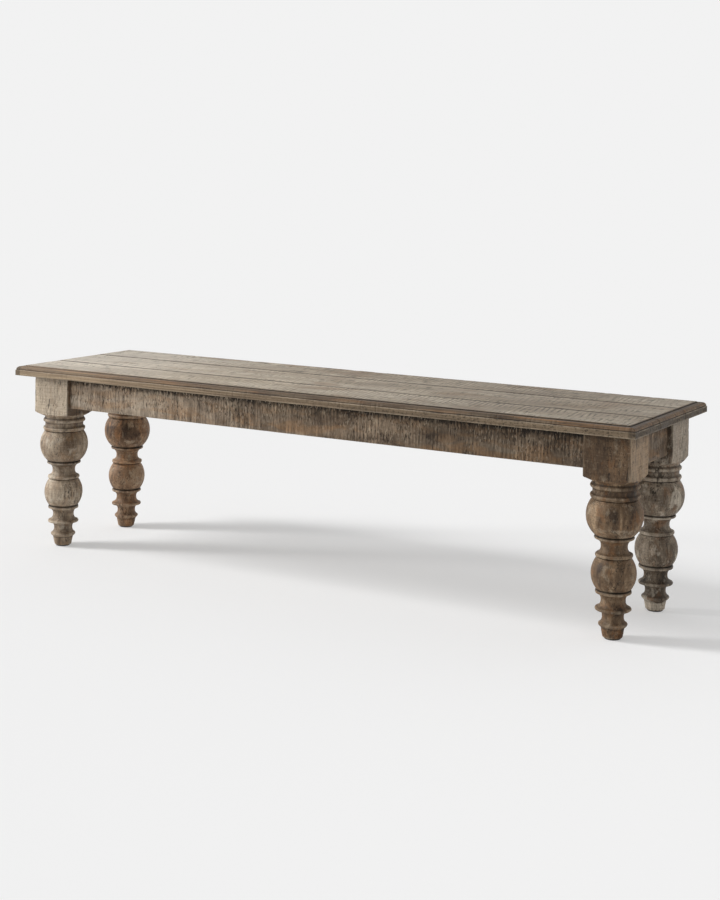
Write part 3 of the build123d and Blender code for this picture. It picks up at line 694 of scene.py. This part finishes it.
class Surface(Nodes):
    """A material's node tree. Patterns are in millimetres and run along one axis."""

    def __init__(self, name, along="z", seed=0):
        self.material = bpy.data.materials.new(name)
        self.material.use_nodes = True
        super().__init__(self.material.node_tree)
        self.shader = self.add("BsdfPrincipled")
        self.output = self.add("OutputMaterial", self.shader.outputs[0])
        self.place = self.add("TexCoord").outputs["Object"]
        self.x, self.y, self.z = self.add("SeparateXYZ", self.place).outputs
        self.along = "xyz".index(along)
        self.seed = seed

    def noise(self, long, wide, layer=0, detail=3.0, rough=0.55, warp=0.0):
        """Noise whose features are long along the grain and wide across it."""
        size = [wide * MM] * 3
        size[self.along] = long * MM
        k = self.seed + 7.3 * layer
        n = self.add("Mapping", self.place, Location=(k * 0.137, k * 0.211, k * 0.073), Scale=size)
        n.vector_type = "TEXTURE"
        t = self.add("TexNoise", n.outputs[0], Scale=1.0, Detail=detail, Roughness=rough, Distortion=warp)
        return t.outputs["Fac"]

    def cracks(self, long, wide, layer, half_width, level):
        """Thin lines where a stretched noise crosses its middle, shown in patches."""
        line = self.math("ABSOLUTE", self.math("SUBTRACT", self.noise(long, wide, layer, detail=2.0), 0.5))
        shown = self.over(self.noise(long * 0.8, wide * 3.0, layer + 1, detail=2.0), level, 0.05)
        return self.times(self.span(line, half_width, half_width * 0.3), shown)

    def mark(self, name):
        n = self.add("Attribute")
        n.attribute_name = name
        return n.outputs["Fac"]

    def finish(self, colour, roughness, height, relief, specular=0.2):
        """Sets the shader; relief is the depth of the bump in metres."""
        self.put(self.shader.inputs["Base Color"], colour)
        self.put(self.shader.inputs["Roughness"], roughness)
        self.shader.inputs["Specular IOR Level"].default_value = specular
        bump = self.add("Bump", Strength=0.7, Distance=relief, Height=height)
        self.put(self.shader.inputs["Normal"], bump.outputs[0])
        return self.material


# Colours, as 0 to 255; tones go from dark to light
# The dark of grooves, dents and cracks: grime, with painted shade where shade falls in them
GRIME_AND_SHADE_TONE = (34, 27, 21)
FIELD_TONES = ((134, 119, 100), (162, 149, 130), (186, 174, 156))
BAND_TONES = ((95, 80, 63), (124, 106, 85), (150, 131, 107))
OVOLO_TONES = ((64, 48, 33), (90, 69, 50), (120, 95, 69))
SHELF_TONES = ((84, 66, 49), (106, 86, 66), (128, 107, 85))
APRON_BROWN = ((90, 74, 59), (132, 114, 95), (164, 146, 124))
APRON_PALE = ((150, 131, 112), (184, 167, 147), (206, 191, 173))
INNER_TONES = ((120, 94, 68), (152, 124, 92), (178, 152, 118))
ZINC_TONES = ((162, 164, 166), (206, 206, 202))
NYLON_TONES = ((48, 44, 40), (70, 65, 60))

# Ends of the seat, in metres
RIGHT_END = SEAT_LENGTH / 2 * MM
LEFT_END = -RIGHT_END


def worn(n, colour, patch, rubbed, rubbed_share=0.5, grime_and_shade_share=1.0):
    """Pale rubbed edges, and grime with painted shade darkening the low places, over whatever the wood is."""
    pale = n.times(n.mark("proud"), n.span(patch, 0.4, 0.6, 0.1, rubbed_share))
    # Darkening of the low places: grime, and painted shade where shade falls
    dark = n.times(n.mark("grime_and_shade"), n.span(patch, 0.3, 0.7, 1.0, 0.85), grime_and_shade_share)
    return n.tint(dark, n.tint(pale, colour, rubbed), GRIME_AND_SHADE_TONE)


def saw_lines(n, along, pitch, wander, cut_level, where):
    """Cuts and ridges of a saw: a wave along the board that wanders and shows in places."""
    stroke = n.math("SINE", n.plus(n.times(along, 2 * math.pi / pitch), wander))
    return n.times(n.span(stroke, cut_level, 0.95), where), n.times(n.span(stroke, -0.3, -0.9), where)


def seat_saw_lines(n, sawn):
    """Slanted saw lines across a plank, stronger to the right."""
    where = n.graded(
        (n.noise(150, 80, 9), 0.42, 0.58, 0.15, 1.0),
        (n.noise(14, 110, 14, detail=2.0), 0.38, 0.58, 0.15, 1.0),
        (n.x, LEFT_END, 0.3, 0.45, 1.0),
    )
    slant = n.plus(n.x, n.times(n.y, SAW_SLANT))
    wander = n.times(n.noise(90, 260, 8, detail=2.0), 16.0)
    return saw_lines(n, slant, SAW_PITCH, wander, 0.5, n.times(where, sawn))


def seat_field(n, patch, sawn, left_tone):
    """Colour and relief of a plank's top."""
    tone = n.weighted((n.noise(520, 110, 0), 0.5), (patch, 0.5))
    colour = n.ramp(tone, 0.38, 0.62, FIELD_TONES)
    stain = n.over(n.noise(170, 70, 2, detail=4.0), 0.6, 0.06)
    colour = n.tint(n.times(stain, 0.55), colour, (128, 104, 79))
    colour = n.tint(n.span(n.x, LEFT_END, -0.1, 0.45, 0.0), colour, (176, 171, 163))
    streak = n.noise(300, 9, 3, detail=4.0, rough=0.6)
    fibre = n.noise(45, 1.7, 4, detail=2.0)
    dash = n.over(n.noise(5.5, 32, 5, detail=2.0), 0.58, 0.03)
    dash = n.times(dash, n.span(patch, 0.4, 0.6, 0.25, 0.9))
    crack = n.cracks(260, 40, 6, 0.03, 0.58)
    cut, ridge = seat_saw_lines(n, sawn)
    from_seam = n.math("ABSOLUTE", n.plus(n.math("ABSOLUTE", n.y), -SEAM_Y * MM))
    shade = n.graded(
        (streak, 0.32, 0.68, 0.84, 1.1),
        (fibre, 0.3, 0.7, 0.86, 1.1),
        (from_seam, 0.01, 0.035, 1.1, 1.0),
        (n.x, -0.9, 0.6, left_tone, 0.8),
    )
    shade = n.times(shade, n.darkened((dash, 0.6), (crack, 0.55), (cut, 0.6), (ridge, -0.26)))
    height = n.weighted((streak, 0.4), (fibre, 0.3), (dash, -0.5), (cut, -0.8), (ridge, 0.3), (crack, -1.0))
    return n.shaded(colour, shade), height


def seat_edge(n):
    """Colour of the moulded edge: band, ovolo and shelf."""
    run = n.noise(380, 5, 10, detail=4.0, rough=0.6)
    grain = n.noise(90, 2.6, 11)
    pit = n.times(n.over(n.noise(6.0, 3.4, 12, detail=2.0), 0.57, 0.03), n.span(n.x, -0.5, 0.7, 0.2, 1.0))
    shade = n.graded((grain, 0.3, 0.7, 0.78, 1.12), (n.x, LEFT_END, -0.6, 0.8, 1.0))
    band = n.shaded(n.ramp(run, 0.36, 0.64, BAND_TONES), n.times(n.less(pit, 0.55), shade))
    streak = n.over(n.noise(120, 6, 13), 0.57, 0.05)
    ovolo = n.tint(n.times(streak, 0.55), n.ramp(run, 0.36, 0.64, OVOLO_TONES), (130, 94, 60))
    ovolo = n.shaded(ovolo, n.graded((grain, 0.34, 0.66, 0.66, 1.16), (n.x, 0.45, 0.72, 1.0, 2.7)))
    on_ovolo = n.times(n.over(n.z, BAND_TOP * MM, 0.0004), n.span(n.x, LEFT_END, -0.35, 0.5, 1.0))
    on_shelf = n.span(n.z, (SHELF - 0.8) * MM, (SHELF - 0.1) * MM)
    edge = n.mix(on_shelf, n.mix(on_ovolo, band, ovolo), n.ramp(run, 0.36, 0.64, SHELF_TONES))
    end_grain = n.span(n.math("ABSOLUTE", n.x), RIGHT_END - 0.016, RIGHT_END - 0.013)
    return n.shaded(edge, n.times(n.span(n.x, LEFT_END, 0.4, 1.22, 0.74), n.less(end_grain, 0.45)))


def seat_wood(name, seed, sawn, left_tone):
    """Bleached planks with a browner moulded edge."""
    n = Surface(name, "x", seed)
    patch = n.noise(120, 40, 1, detail=4.0, rough=0.6, warp=0.3)
    field, height = seat_field(n, patch, sawn, left_tone)
    colour = n.mix(n.mark("edge"), field, seat_edge(n))
    clean = n.times(n.mark("edge"), n.span(n.x, LEFT_END, -0.3, 1.0, 0.0))
    colour = worn(n, colour, patch, (176, 161, 139), grime_and_shade_share=n.less(clean, 0.6))
    return n.finish(colour, n.span(patch, 0.3, 0.7, 0.5, 0.68), height, 0.0009)


def apron_patches(n, broad, patch, bleached):
    """Patches of brown, bleached towards the left, with orange brown low down."""
    tone = n.weighted((broad, 0.6), (patch, 0.4))
    ragged = n.plus(n.x, n.times(n.plus(broad, -0.5), 0.9))
    share = n.times(n.span(ragged, -0.75, 0.1, 1.0, 0.0), bleached)
    colour = n.mix(share, n.ramp(tone, 0.38, 0.62, APRON_BROWN), n.ramp(tone, 0.38, 0.62, APRON_PALE))
    rust = n.over(n.noise(22, 90, 2, detail=4.0, warp=0.5), 0.53, 0.08)
    low_down = n.span(n.z, (APRON_BOTTOM + 7) * MM, (APRON_BOTTOM + 52) * MM, 1.0, 0.55)
    return n.tint(n.times(rust, low_down, 0.55), colour, (160, 123, 86))


def apron_saw_lines(n):
    """Upright saw lines in patches, stronger to the right."""
    where = n.graded((n.noise(46, 70, 12), 0.42, 0.58), (n.x, -0.5, 0.4, 0.5, 1.0))
    wander = n.times(n.noise(120, 60, 11, detail=2.0), 14.0)
    return saw_lines(n, n.plus(n.x, n.y), APRON_SAW_PITCH, wander, 0.4, where)


def apron_wood(name, seed, bleached, right_tone):
    """Rough-sawn boards: short strokes over patches of brown, with a painted shadow of the seat along the
    top.
    """
    n = Surface(name, "z", seed)
    broad = n.noise(60, 150, 0, detail=4.0, rough=0.6)
    patch = n.noise(26, 34, 1, detail=4.0, rough=0.65)
    long = n.times(n.over(n.noise(70, 5.0, 3), 0.63, 0.025), n.over(n.noise(90, 25, 9), 0.5, 0.08))
    dark = n.over(n.noise(10, 3.4, 4, detail=1.5), 0.585, 0.03)
    light = n.over(n.noise(9, 3.2, 5, detail=1.5), 0.6, 0.03)
    where = n.plus(n.noise(30, 45, 6), n.times(n.plus(n.z, -APRON_Z * MM), 2.2))
    where = n.span(where, 0.38, 0.56, 0.25, 1.0)
    # Painted shadow of the seat's overhang: a ragged band along the top of the board is darkened
    ragged = n.plus(n.z, n.times(n.plus(n.noise(14, 7, 7), -0.5), 0.03))
    high = n.span(ragged, (SEAT_BOTTOM - 26) * MM, (SEAT_BOTTOM - 9) * MM)
    cut, ridge = apron_saw_lines(n)
    marks = n.darkened((n.times(dark, where), 0.62), (long, 0.6), (high, 0.88), (cut, 0.4), (ridge, -0.3))
    shade = n.graded(
        (n.noise(24, 2.4, 8, detail=2.0), 0.32, 0.68, 0.8, 1.14),
        (n.noise(200, 13, 10), 0.35, 0.65, 0.8, 1.12),
        (n.x, 0.15, 0.45, 1.0, right_tone),
    )
    colour = n.shaded(apron_patches(n, broad, patch, bleached), n.times(marks, shade))
    colour = n.tint(n.times(light, where, n.span(n.x, -0.3, 0.3, 0.5, 0.28)), colour, (196, 180, 158))
    colour = worn(n, colour, patch, (150, 132, 110), 0.45)
    height = n.weighted((long, -0.9), (dark, -0.6), (light, 0.4), (cut, -0.6))
    return n.finish(colour, n.span(patch, 0.3, 0.7, 0.6, 0.78), height, 0.0012)


def leg_patches(n, patch, broad, calm, tones):
    """Ragged patches of brown, tan, rust and grey, with the leg's own spots and the painted light and shade
    of its head's faces.
    """
    *browns, rust, grey = tones
    mottle = n.times(n.plus(n.weighted((patch, 0.7), (broad, 0.3)), -0.49), calm)
    # The tone mark carries spots of tone and the painted light and shade of the head's faces
    tone = n.plus(mottle, n.times(n.mark("tone"), 0.16), 0.49)
    colour = n.ramp(tone, 0.36, 0.62, browns)
    rusty = n.plus(n.noise(40, 19, 2, warp=0.5), n.times(n.mark("rust"), 0.2))
    colour = n.tint(n.times(n.over(rusty, 0.62, 0.11), calm, 0.6), colour, rust)
    washed = n.plus(n.noise(30, 22, 3, detail=4.0, rough=0.6), n.times(n.mark("pale"), 0.3))
    return n.tint(n.times(n.over(washed, 0.62, 0.08), calm, 0.9), colour, grey)


def leg_wood(name, seed, tones):
    """Turned legs: patches, veins, specks, upright checks and fine tool rings, and a painted shadow of the
    seat on top of the heads.
    """
    n = Surface(name, "z", seed)
    grey = tones[-1]
    patch = n.noise(48, 24, 0, detail=4.0, rough=0.6, warp=0.5)
    broad = n.noise(120, 60, 1)
    calm = n.span(n.z, (HEAD_BOTTOM - 1) * MM, (HEAD_BOTTOM + 13) * MM, 0.78, 0.45)
    vein = n.noise(80, 6.5, 4, detail=4.0, rough=0.6, warp=0.3)
    vein = n.plus(n.times(n.plus(vein, -0.5), calm), 0.5)
    fibre = n.noise(26, 1.8, 5, detail=2.0)
    speck = n.over(n.plus(n.noise(6.0, 3.0, 6, detail=2.0), n.times(n.mark("rough"), 0.075)), 0.6, 0.03)
    speck = n.times(speck, n.span(patch, 0.36, 0.6, 0.25, 0.9))
    fleck = n.over(n.noise(6.0, 3.0, 7, detail=2.0), 0.62, 0.03)
    fleck = n.times(fleck, n.span(broad, 0.4, 0.6, 0.2, 0.8))
    check = n.cracks(80, 11, 8, 0.02, 0.55)
    ring = n.noise(2.8, 70, 10, detail=2.0)
    shade = n.graded(
        (vein, 0.34, 0.66, 0.78, 1.13),
        (fibre, 0.3, 0.7, 0.86, 1.1),
        (ring, 0.36, 0.64, 0.88, 1.06),
        # Painted shadow of the seat: the top of the head darkens towards the seat
        (n.z, (SEAT_BOTTOM - 28) * MM, (SEAT_BOTTOM - 4) * MM, 1.0, 0.6),
    )
    shade = n.times(shade, n.darkened((speck, 0.55), (check, 0.7)))
    colour = n.shaded(leg_patches(n, patch, broad, calm, tones), shade)
    colour = worn(n, n.tint(n.times(fleck, 0.35), colour, grey), patch, grey)
    height = n.weighted((vein, 0.4), (fibre, 0.25), (speck, -0.5), (check, -1.0), (ring, 0.15), (fleck, 0.2))
    return n.finish(colour, n.span(patch, 0.3, 0.7, 0.5, 0.68), height, 0.001)


def inner_wood():
    """Plain planed timber for the pieces inside the frame."""
    n = Surface("inner_wood", "y", 41)
    broad = n.noise(300, 24, 0, detail=4.0, rough=0.6, warp=0.3)
    fibre = n.noise(60, 2.2, 1)
    pore = n.over(n.noise(9, 1.6, 2, detail=2.0), 0.62, 0.03)
    shade = n.times(n.span(fibre, 0.3, 0.7, 0.86, 1.08), n.less(pore, 0.3))
    colour = n.shaded(n.ramp(broad, 0.34, 0.66, INNER_TONES), shade)
    return n.finish(colour, n.span(fibre, 0.3, 0.7, 0.62, 0.76), n.plus(fibre, n.times(pore, -0.6)), 0.0005)


def zinc():
    n = Surface("zinc_steel")
    n.shader.inputs["Metallic"].default_value = 1.0
    grain = n.noise(6, 6, 0, detail=4.0, rough=0.7)
    colour = n.ramp(grain, 0.3, 0.7, ZINC_TONES)
    return n.finish(colour, n.span(grain, 0.3, 0.7, 0.28, 0.5), grain, 0.0002, 0.5)


def nylon():
    n = Surface("glide_nylon")
    grain = n.noise(2.4, 2.4, 0, rough=0.6)
    colour = n.ramp(grain, 0.35, 0.65, NYLON_TONES)
    return n.finish(colour, n.span(grain, 0.3, 0.7, 0.45, 0.65), grain, 0.0002, 0.5)


# The seat: each plank's edges, whether they are moulded, its seed, saw lines and tone at the left
for plank_name, low, high, front, rear, seed, sawn, left_tone in (
    ("seat_plank_front", -SEAT_DEPTH / 2, -SEAM_Y, True, False, 3, 1.0, 1.33),
    ("seat_plank_middle", -SEAM_Y, SEAM_Y, False, False, 7, 0.55, 1.2),
    ("seat_plank_rear", SEAM_Y, SEAT_DEPTH / 2, False, True, 12, 0.7, 1.1),
):
    wood = seat_wood(plank_name + "_wood", seed, sawn, left_tone)
    plank(plank_name, low, high, front, rear, wood, seed)

# The legs: each has its own tones (dark, middle, light, rust, grey), faces of the head with painted light and
# shade, and single spots.
# A bearing of 0 faces +X and 90 faces +Y; a spot is its kind, height, bearing, tall, wide and strength.
LEGS = {
    "front_left": dict(
        side=(-1, -1), seed=21, faces={270: 1.0, 0: -1.8},
        tones=((100, 83, 66), (152, 133, 112), (190, 174, 153), (148, 114, 80), (192, 180, 162)),
        spots=[
            ("rust", 292, 285, 5, 30, 0.8), ("tone", 255, 330, 22, 14, -0.7), ("pale", 262, 270, 18, 16, 0.5),
            ("tone", 205, 300, 10, 90, -0.6), ("tone", 80, 300, 30, 90, -0.2),
            ("tone", 135, 300, 30, 60, 0.5),
        ],
    ),
    "front_right": dict(
        side=(1, -1), seed=22, faces={270: -0.3, 0: 1.1},
        tones=((62, 47, 34), (112, 90, 68), (158, 134, 107), (144, 98, 56), (166, 150, 128)),
        spots=[
            ("rust", 276, 255, 12, 14, 1.0), ("tone", 262, 286, 11, 10, -1.1), ("tone", 252, 304, 26, 3, 1.0),
            # The pale band low on the big ball, at 228, is a painted highlight of light bounced from the
            # floor
            ("tone", 250, 325, 26, 13, -0.7), ("pale", 228, 290, 6, 40, 0.6),
            ("tone", 305, 300, 13, 90, -0.5), ("rust", 15, 290, 10, 60, 0.5),
            ("tone", 62, 308, 12, 10, -1.6), ("tone", 14, 300, 12, 60, -0.6), ("rough", 378, 0, 70, 60, 0.6),
        ],
    ),
    "rear_left": dict(
        side=(-1, 1), seed=23, faces={},
        tones=((70, 52, 39), (136, 108, 83), (182, 153, 123), (160, 112, 70), (182, 162, 138)),
        spots=[
            ("tone", 262, 300, 30, 50, -1.0), ("rust", 248, 280, 16, 16, 0.9),
            ("rust", 172, 300, 18, 24, 0.9), ("rust", 60, 300, 30, 60, 0.3),
            # The pale band low on the big ball, at 232, is a painted highlight of light bounced from the
            # floor
            ("pale", 232, 320, 6, 40, 0.25), ("tone", 135, 300, 26, 60, 0.2),
        ],
    ),
    "rear_right": dict(
        side=(1, 1), seed=24, faces={270: -0.8, 0: 0.4},
        tones=((74, 63, 52), (124, 110, 94), (166, 152, 134), (140, 98, 62), (206, 194, 176)),
        spots=[
            ("pale", 13, 300, 9, 200, 2.0), ("rust", 198, 300, 6, 12, 1.4), ("pale", 206, 285, 7, 12, 0.9),
            ("pale", 255, 330, 16, 12, 0.9), ("tone", 84, 300, 24, 90, -0.6), ("rough", 378, 0, 70, 60, 1.0),
            ("tone", 378, 0, 70, 50, 0.5),
        ],
    ),
}
for corner, how in LEGS.items():
    wood = leg_wood(f"leg_{corner}_wood", how["seed"], how["tones"])
    leg(f"leg_{corner}", *how["side"], wood, how["seed"], how["faces"], how["spots"])

# The aprons: each one's direction, place, half length, outer side, seed, bleaching and tone at the right
for apron_name, along, place, length, outward, seed, bleached, right_tone in (
    ("apron_front", "x", (0, -APRON_Y, APRON_Z), LEG_INNER_X, -1, 31, 0.85, 0.67),
    ("apron_rear", "x", (0, APRON_Y, APRON_Z), LEG_INNER_X, 1, 32, 0.5, 0.8),
    ("apron_left", "y", (-APRON_X, 0, APRON_Z), LEG_INNER_Y, -1, 33, 0.5, 1.0),
    ("apron_right", "y", (APRON_X, 0, APRON_Z), LEG_INNER_Y, 1, 34, 0.0, 0.92),
):
    wood = apron_wood(apron_name + "_wood", seed, bleached, right_tone)
    apron(apron_name, along, place, length, outward, wood, seed)

# Hidden timber and hardware keep their CAD shapes
METAL = ("corner_block_screws", "batten_screws", "clip_screws", "hanger", "bolt", "seat_clips")
timber = inner_wood()
steel = zinc()
glide = nylon()
for name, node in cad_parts.items():
    if node.hide_render:
        continue
    finish = steel if name.startswith(METAL) else glide if name.startswith("foot_glide") else timber
    node.data.materials.clear()
    node.data.materials.append(finish)

# Light: a high and a low soft lamp at the left and front, and a dome that is brighter low down and behind.
# A lamp's share is its part of the light that falls on the floor at the middle of the bench.
LAMPS = {
    "high": dict(place=(-3.6, -1.7, 3.9), wide=0.7, tall=2.6, share=0.42),
    "low": dict(place=(-5.4, -2.45, 1.6), wide=0.7, tall=1.4, share=0.1),
}
LAMP_AIM = (0.0, 0.0, 0.3)
DOME_GREY = (0.8, 0.8, 0.8, 1.0)
DOME_LOW = 1.25
DOME_HIGH = 0.4
DOME_FRONT = 0.68
DOME_REAR = 1.4
REARWARD = (-0.5, 0.866, 0.0)
BACKDROP = (0.887, 0.887, 0.887, 1.0)


def world_matrix(across, up, back, place):
    """Where an object stands, from its three axes and its place."""
    columns = np.column_stack([across, up, back, place])
    return Matrix(np.vstack([columns, [0, 0, 0, 1]]).tolist())


def soft_lamp(name, place, wide, tall, share):
    """An area lamp with the power that gives its share at the middle of the floor."""
    light = bpy.data.lights.new(name, "AREA")
    light.shape = "RECTANGLE"
    light.size = wide
    light.size_y = tall
    light.energy = share * math.pi**2 * np.linalg.norm(place) ** 3 / place[2]
    lamp = bpy.data.objects.new(name, light)
    lamp.visible_camera = False
    axis = np.subtract(place, LAMP_AIM)
    axis /= np.linalg.norm(axis)
    across = np.cross((0.0, 0.0, 1.0), axis)
    across /= np.linalg.norm(across)
    lamp.matrix_world = world_matrix(across, np.cross(axis, across), axis, place)
    bpy.context.scene.collection.objects.link(lamp)


def studio_world():
    """A soft dome for the light, and a plain backdrop for the camera and reflections."""
    world = bpy.data.worlds.new("studio")
    bpy.context.scene.world = world
    world.use_nodes = True
    n = Nodes(world.node_tree)
    direction = n.add("TexCoord").outputs["Generated"]
    height = n.add("SeparateXYZ", direction).outputs["Z"]
    round_about = n.span(n.measure("DOT_PRODUCT", direction, REARWARD), -1.0, 1.0, DOME_FRONT, DOME_REAR)
    low_down = n.math("POWER", n.math("SUBTRACT", 1.0, height), 2.0)
    strength = n.times(round_about, n.span(low_down, 0.0, 1.0, DOME_HIGH, DOME_LOW, "LINEAR"))
    soft = n.add("Background", DOME_GREY, strength).outputs[0]
    plain = n.add("Background", BACKDROP, 1.0).outputs[0]
    rays = n.add("LightPath").outputs
    seen = n.math("MAXIMUM", rays["Is Camera Ray"], rays["Is Glossy Ray"])
    seen = n.math("MAXIMUM", seen, rays["Is Transmission Ray"])
    n.add("OutputWorld", n.add("MixShader", seen, soft, plain).outputs[0])


for lamp_name, how in LAMPS.items():
    soft_lamp(lamp_name, **how)
studio_world()

# Floor: the camera sees it mixed with the backdrop, by a share that grows to all of it away from the bench
FLOOR_HALF = 60.0
FLOOR_TONE = 0.94
FLOOR_SHARE = 0.38
FADE_START = 1.1
FADE_END = 3.2


def floor_material():
    """A pale tone that evens out the lamps' falloff, and the backdrop mixed in for the camera."""
    n = Surface("pale_floor")
    lit = 1.0 - sum(lamp["share"] for lamp in LAMPS.values())
    for lamp in LAMPS.values():
        away = n.measure("DISTANCE", n.place, lamp["place"])
        nearer = n.math("DIVIDE", away, float(np.linalg.norm(lamp["place"])))
        lit = n.plus(lit, n.times(n.math("POWER", nearer, -3.0), lamp["share"]))
    tone = n.shaded((1.0, 1.0, 1.0, 1.0), n.math("DIVIDE", FLOOR_TONE, lit))
    n.put(n.shader.inputs["Base Color"], tone)
    n.shader.inputs["Roughness"].default_value = 1.0
    n.shader.inputs["Specular IOR Level"].default_value = 0.0
    from_middle = n.measure("DISTANCE", n.place, (0.0, 0.0, 0.0))
    share = n.span(from_middle, FADE_START, FADE_END, FLOOR_SHARE, 1.0)
    share = n.times(share, n.add("LightPath").outputs["Is Camera Ray"])
    glow = n.add("Emission", BACKDROP).outputs[0]
    n.put(n.output.inputs[0], n.add("MixShader", share, n.shader.outputs[0], glow).outputs[0])
    return n.material


def pale_floor():
    mesh = bpy.data.meshes.new("floor")
    corners = [(x * FLOOR_HALF, y * FLOOR_HALF, 0.0) for x, y in ((-1, -1), (1, -1), (1, 1), (-1, 1))]
    mesh.from_pydata(corners, [], [(0, 1, 2, 3)])
    mesh.materials.append(floor_material())
    floor = bpy.data.objects.new("floor", mesh)
    bpy.context.scene.collection.objects.link(floor)


pale_floor()

# Camera, fitted to the photograph: degrees, metres, and pixels of an image that is 900 high
YAW = 30.1808
PITCH = 1.3492
ROLL = -0.8938
CAMERA_PLACE = (1.92279, -3.23597, 0.96170)
FOCAL_PIXELS = 1627.72
PRINCIPAL_ROW = 200.0
IMAGE_HEIGHT = 900.0
SENSOR = 36.0


def photo_camera():
    yaw, pitch, roll = np.radians((YAW, PITCH, ROLL))
    forward = np.array([-math.sin(yaw) * math.cos(pitch), math.cos(yaw) * math.cos(pitch), -math.sin(pitch)])
    level = np.array([math.cos(yaw), math.sin(yaw), 0.0])
    upward = np.cross(level, forward)
    right = level * math.cos(roll) - upward * math.sin(roll)
    up = upward * math.cos(roll) + level * math.sin(roll)
    lens = bpy.data.cameras.new("camera")
    lens.sensor_width = SENSOR
    lens.lens = FOCAL_PIXELS / IMAGE_HEIGHT * SENSOR
    lens.shift_y = (PRINCIPAL_ROW - IMAGE_HEIGHT / 2) / IMAGE_HEIGHT
    lens.clip_end = 200.0
    camera = bpy.data.objects.new("camera", lens)
    camera.matrix_world = world_matrix(right, up, -forward, CAMERA_PLACE)
    bpy.context.scene.collection.objects.link(camera)
    bpy.context.scene.camera = camera


photo_camera()
bpy.context.scene.view_settings.view_transform = "Standard"
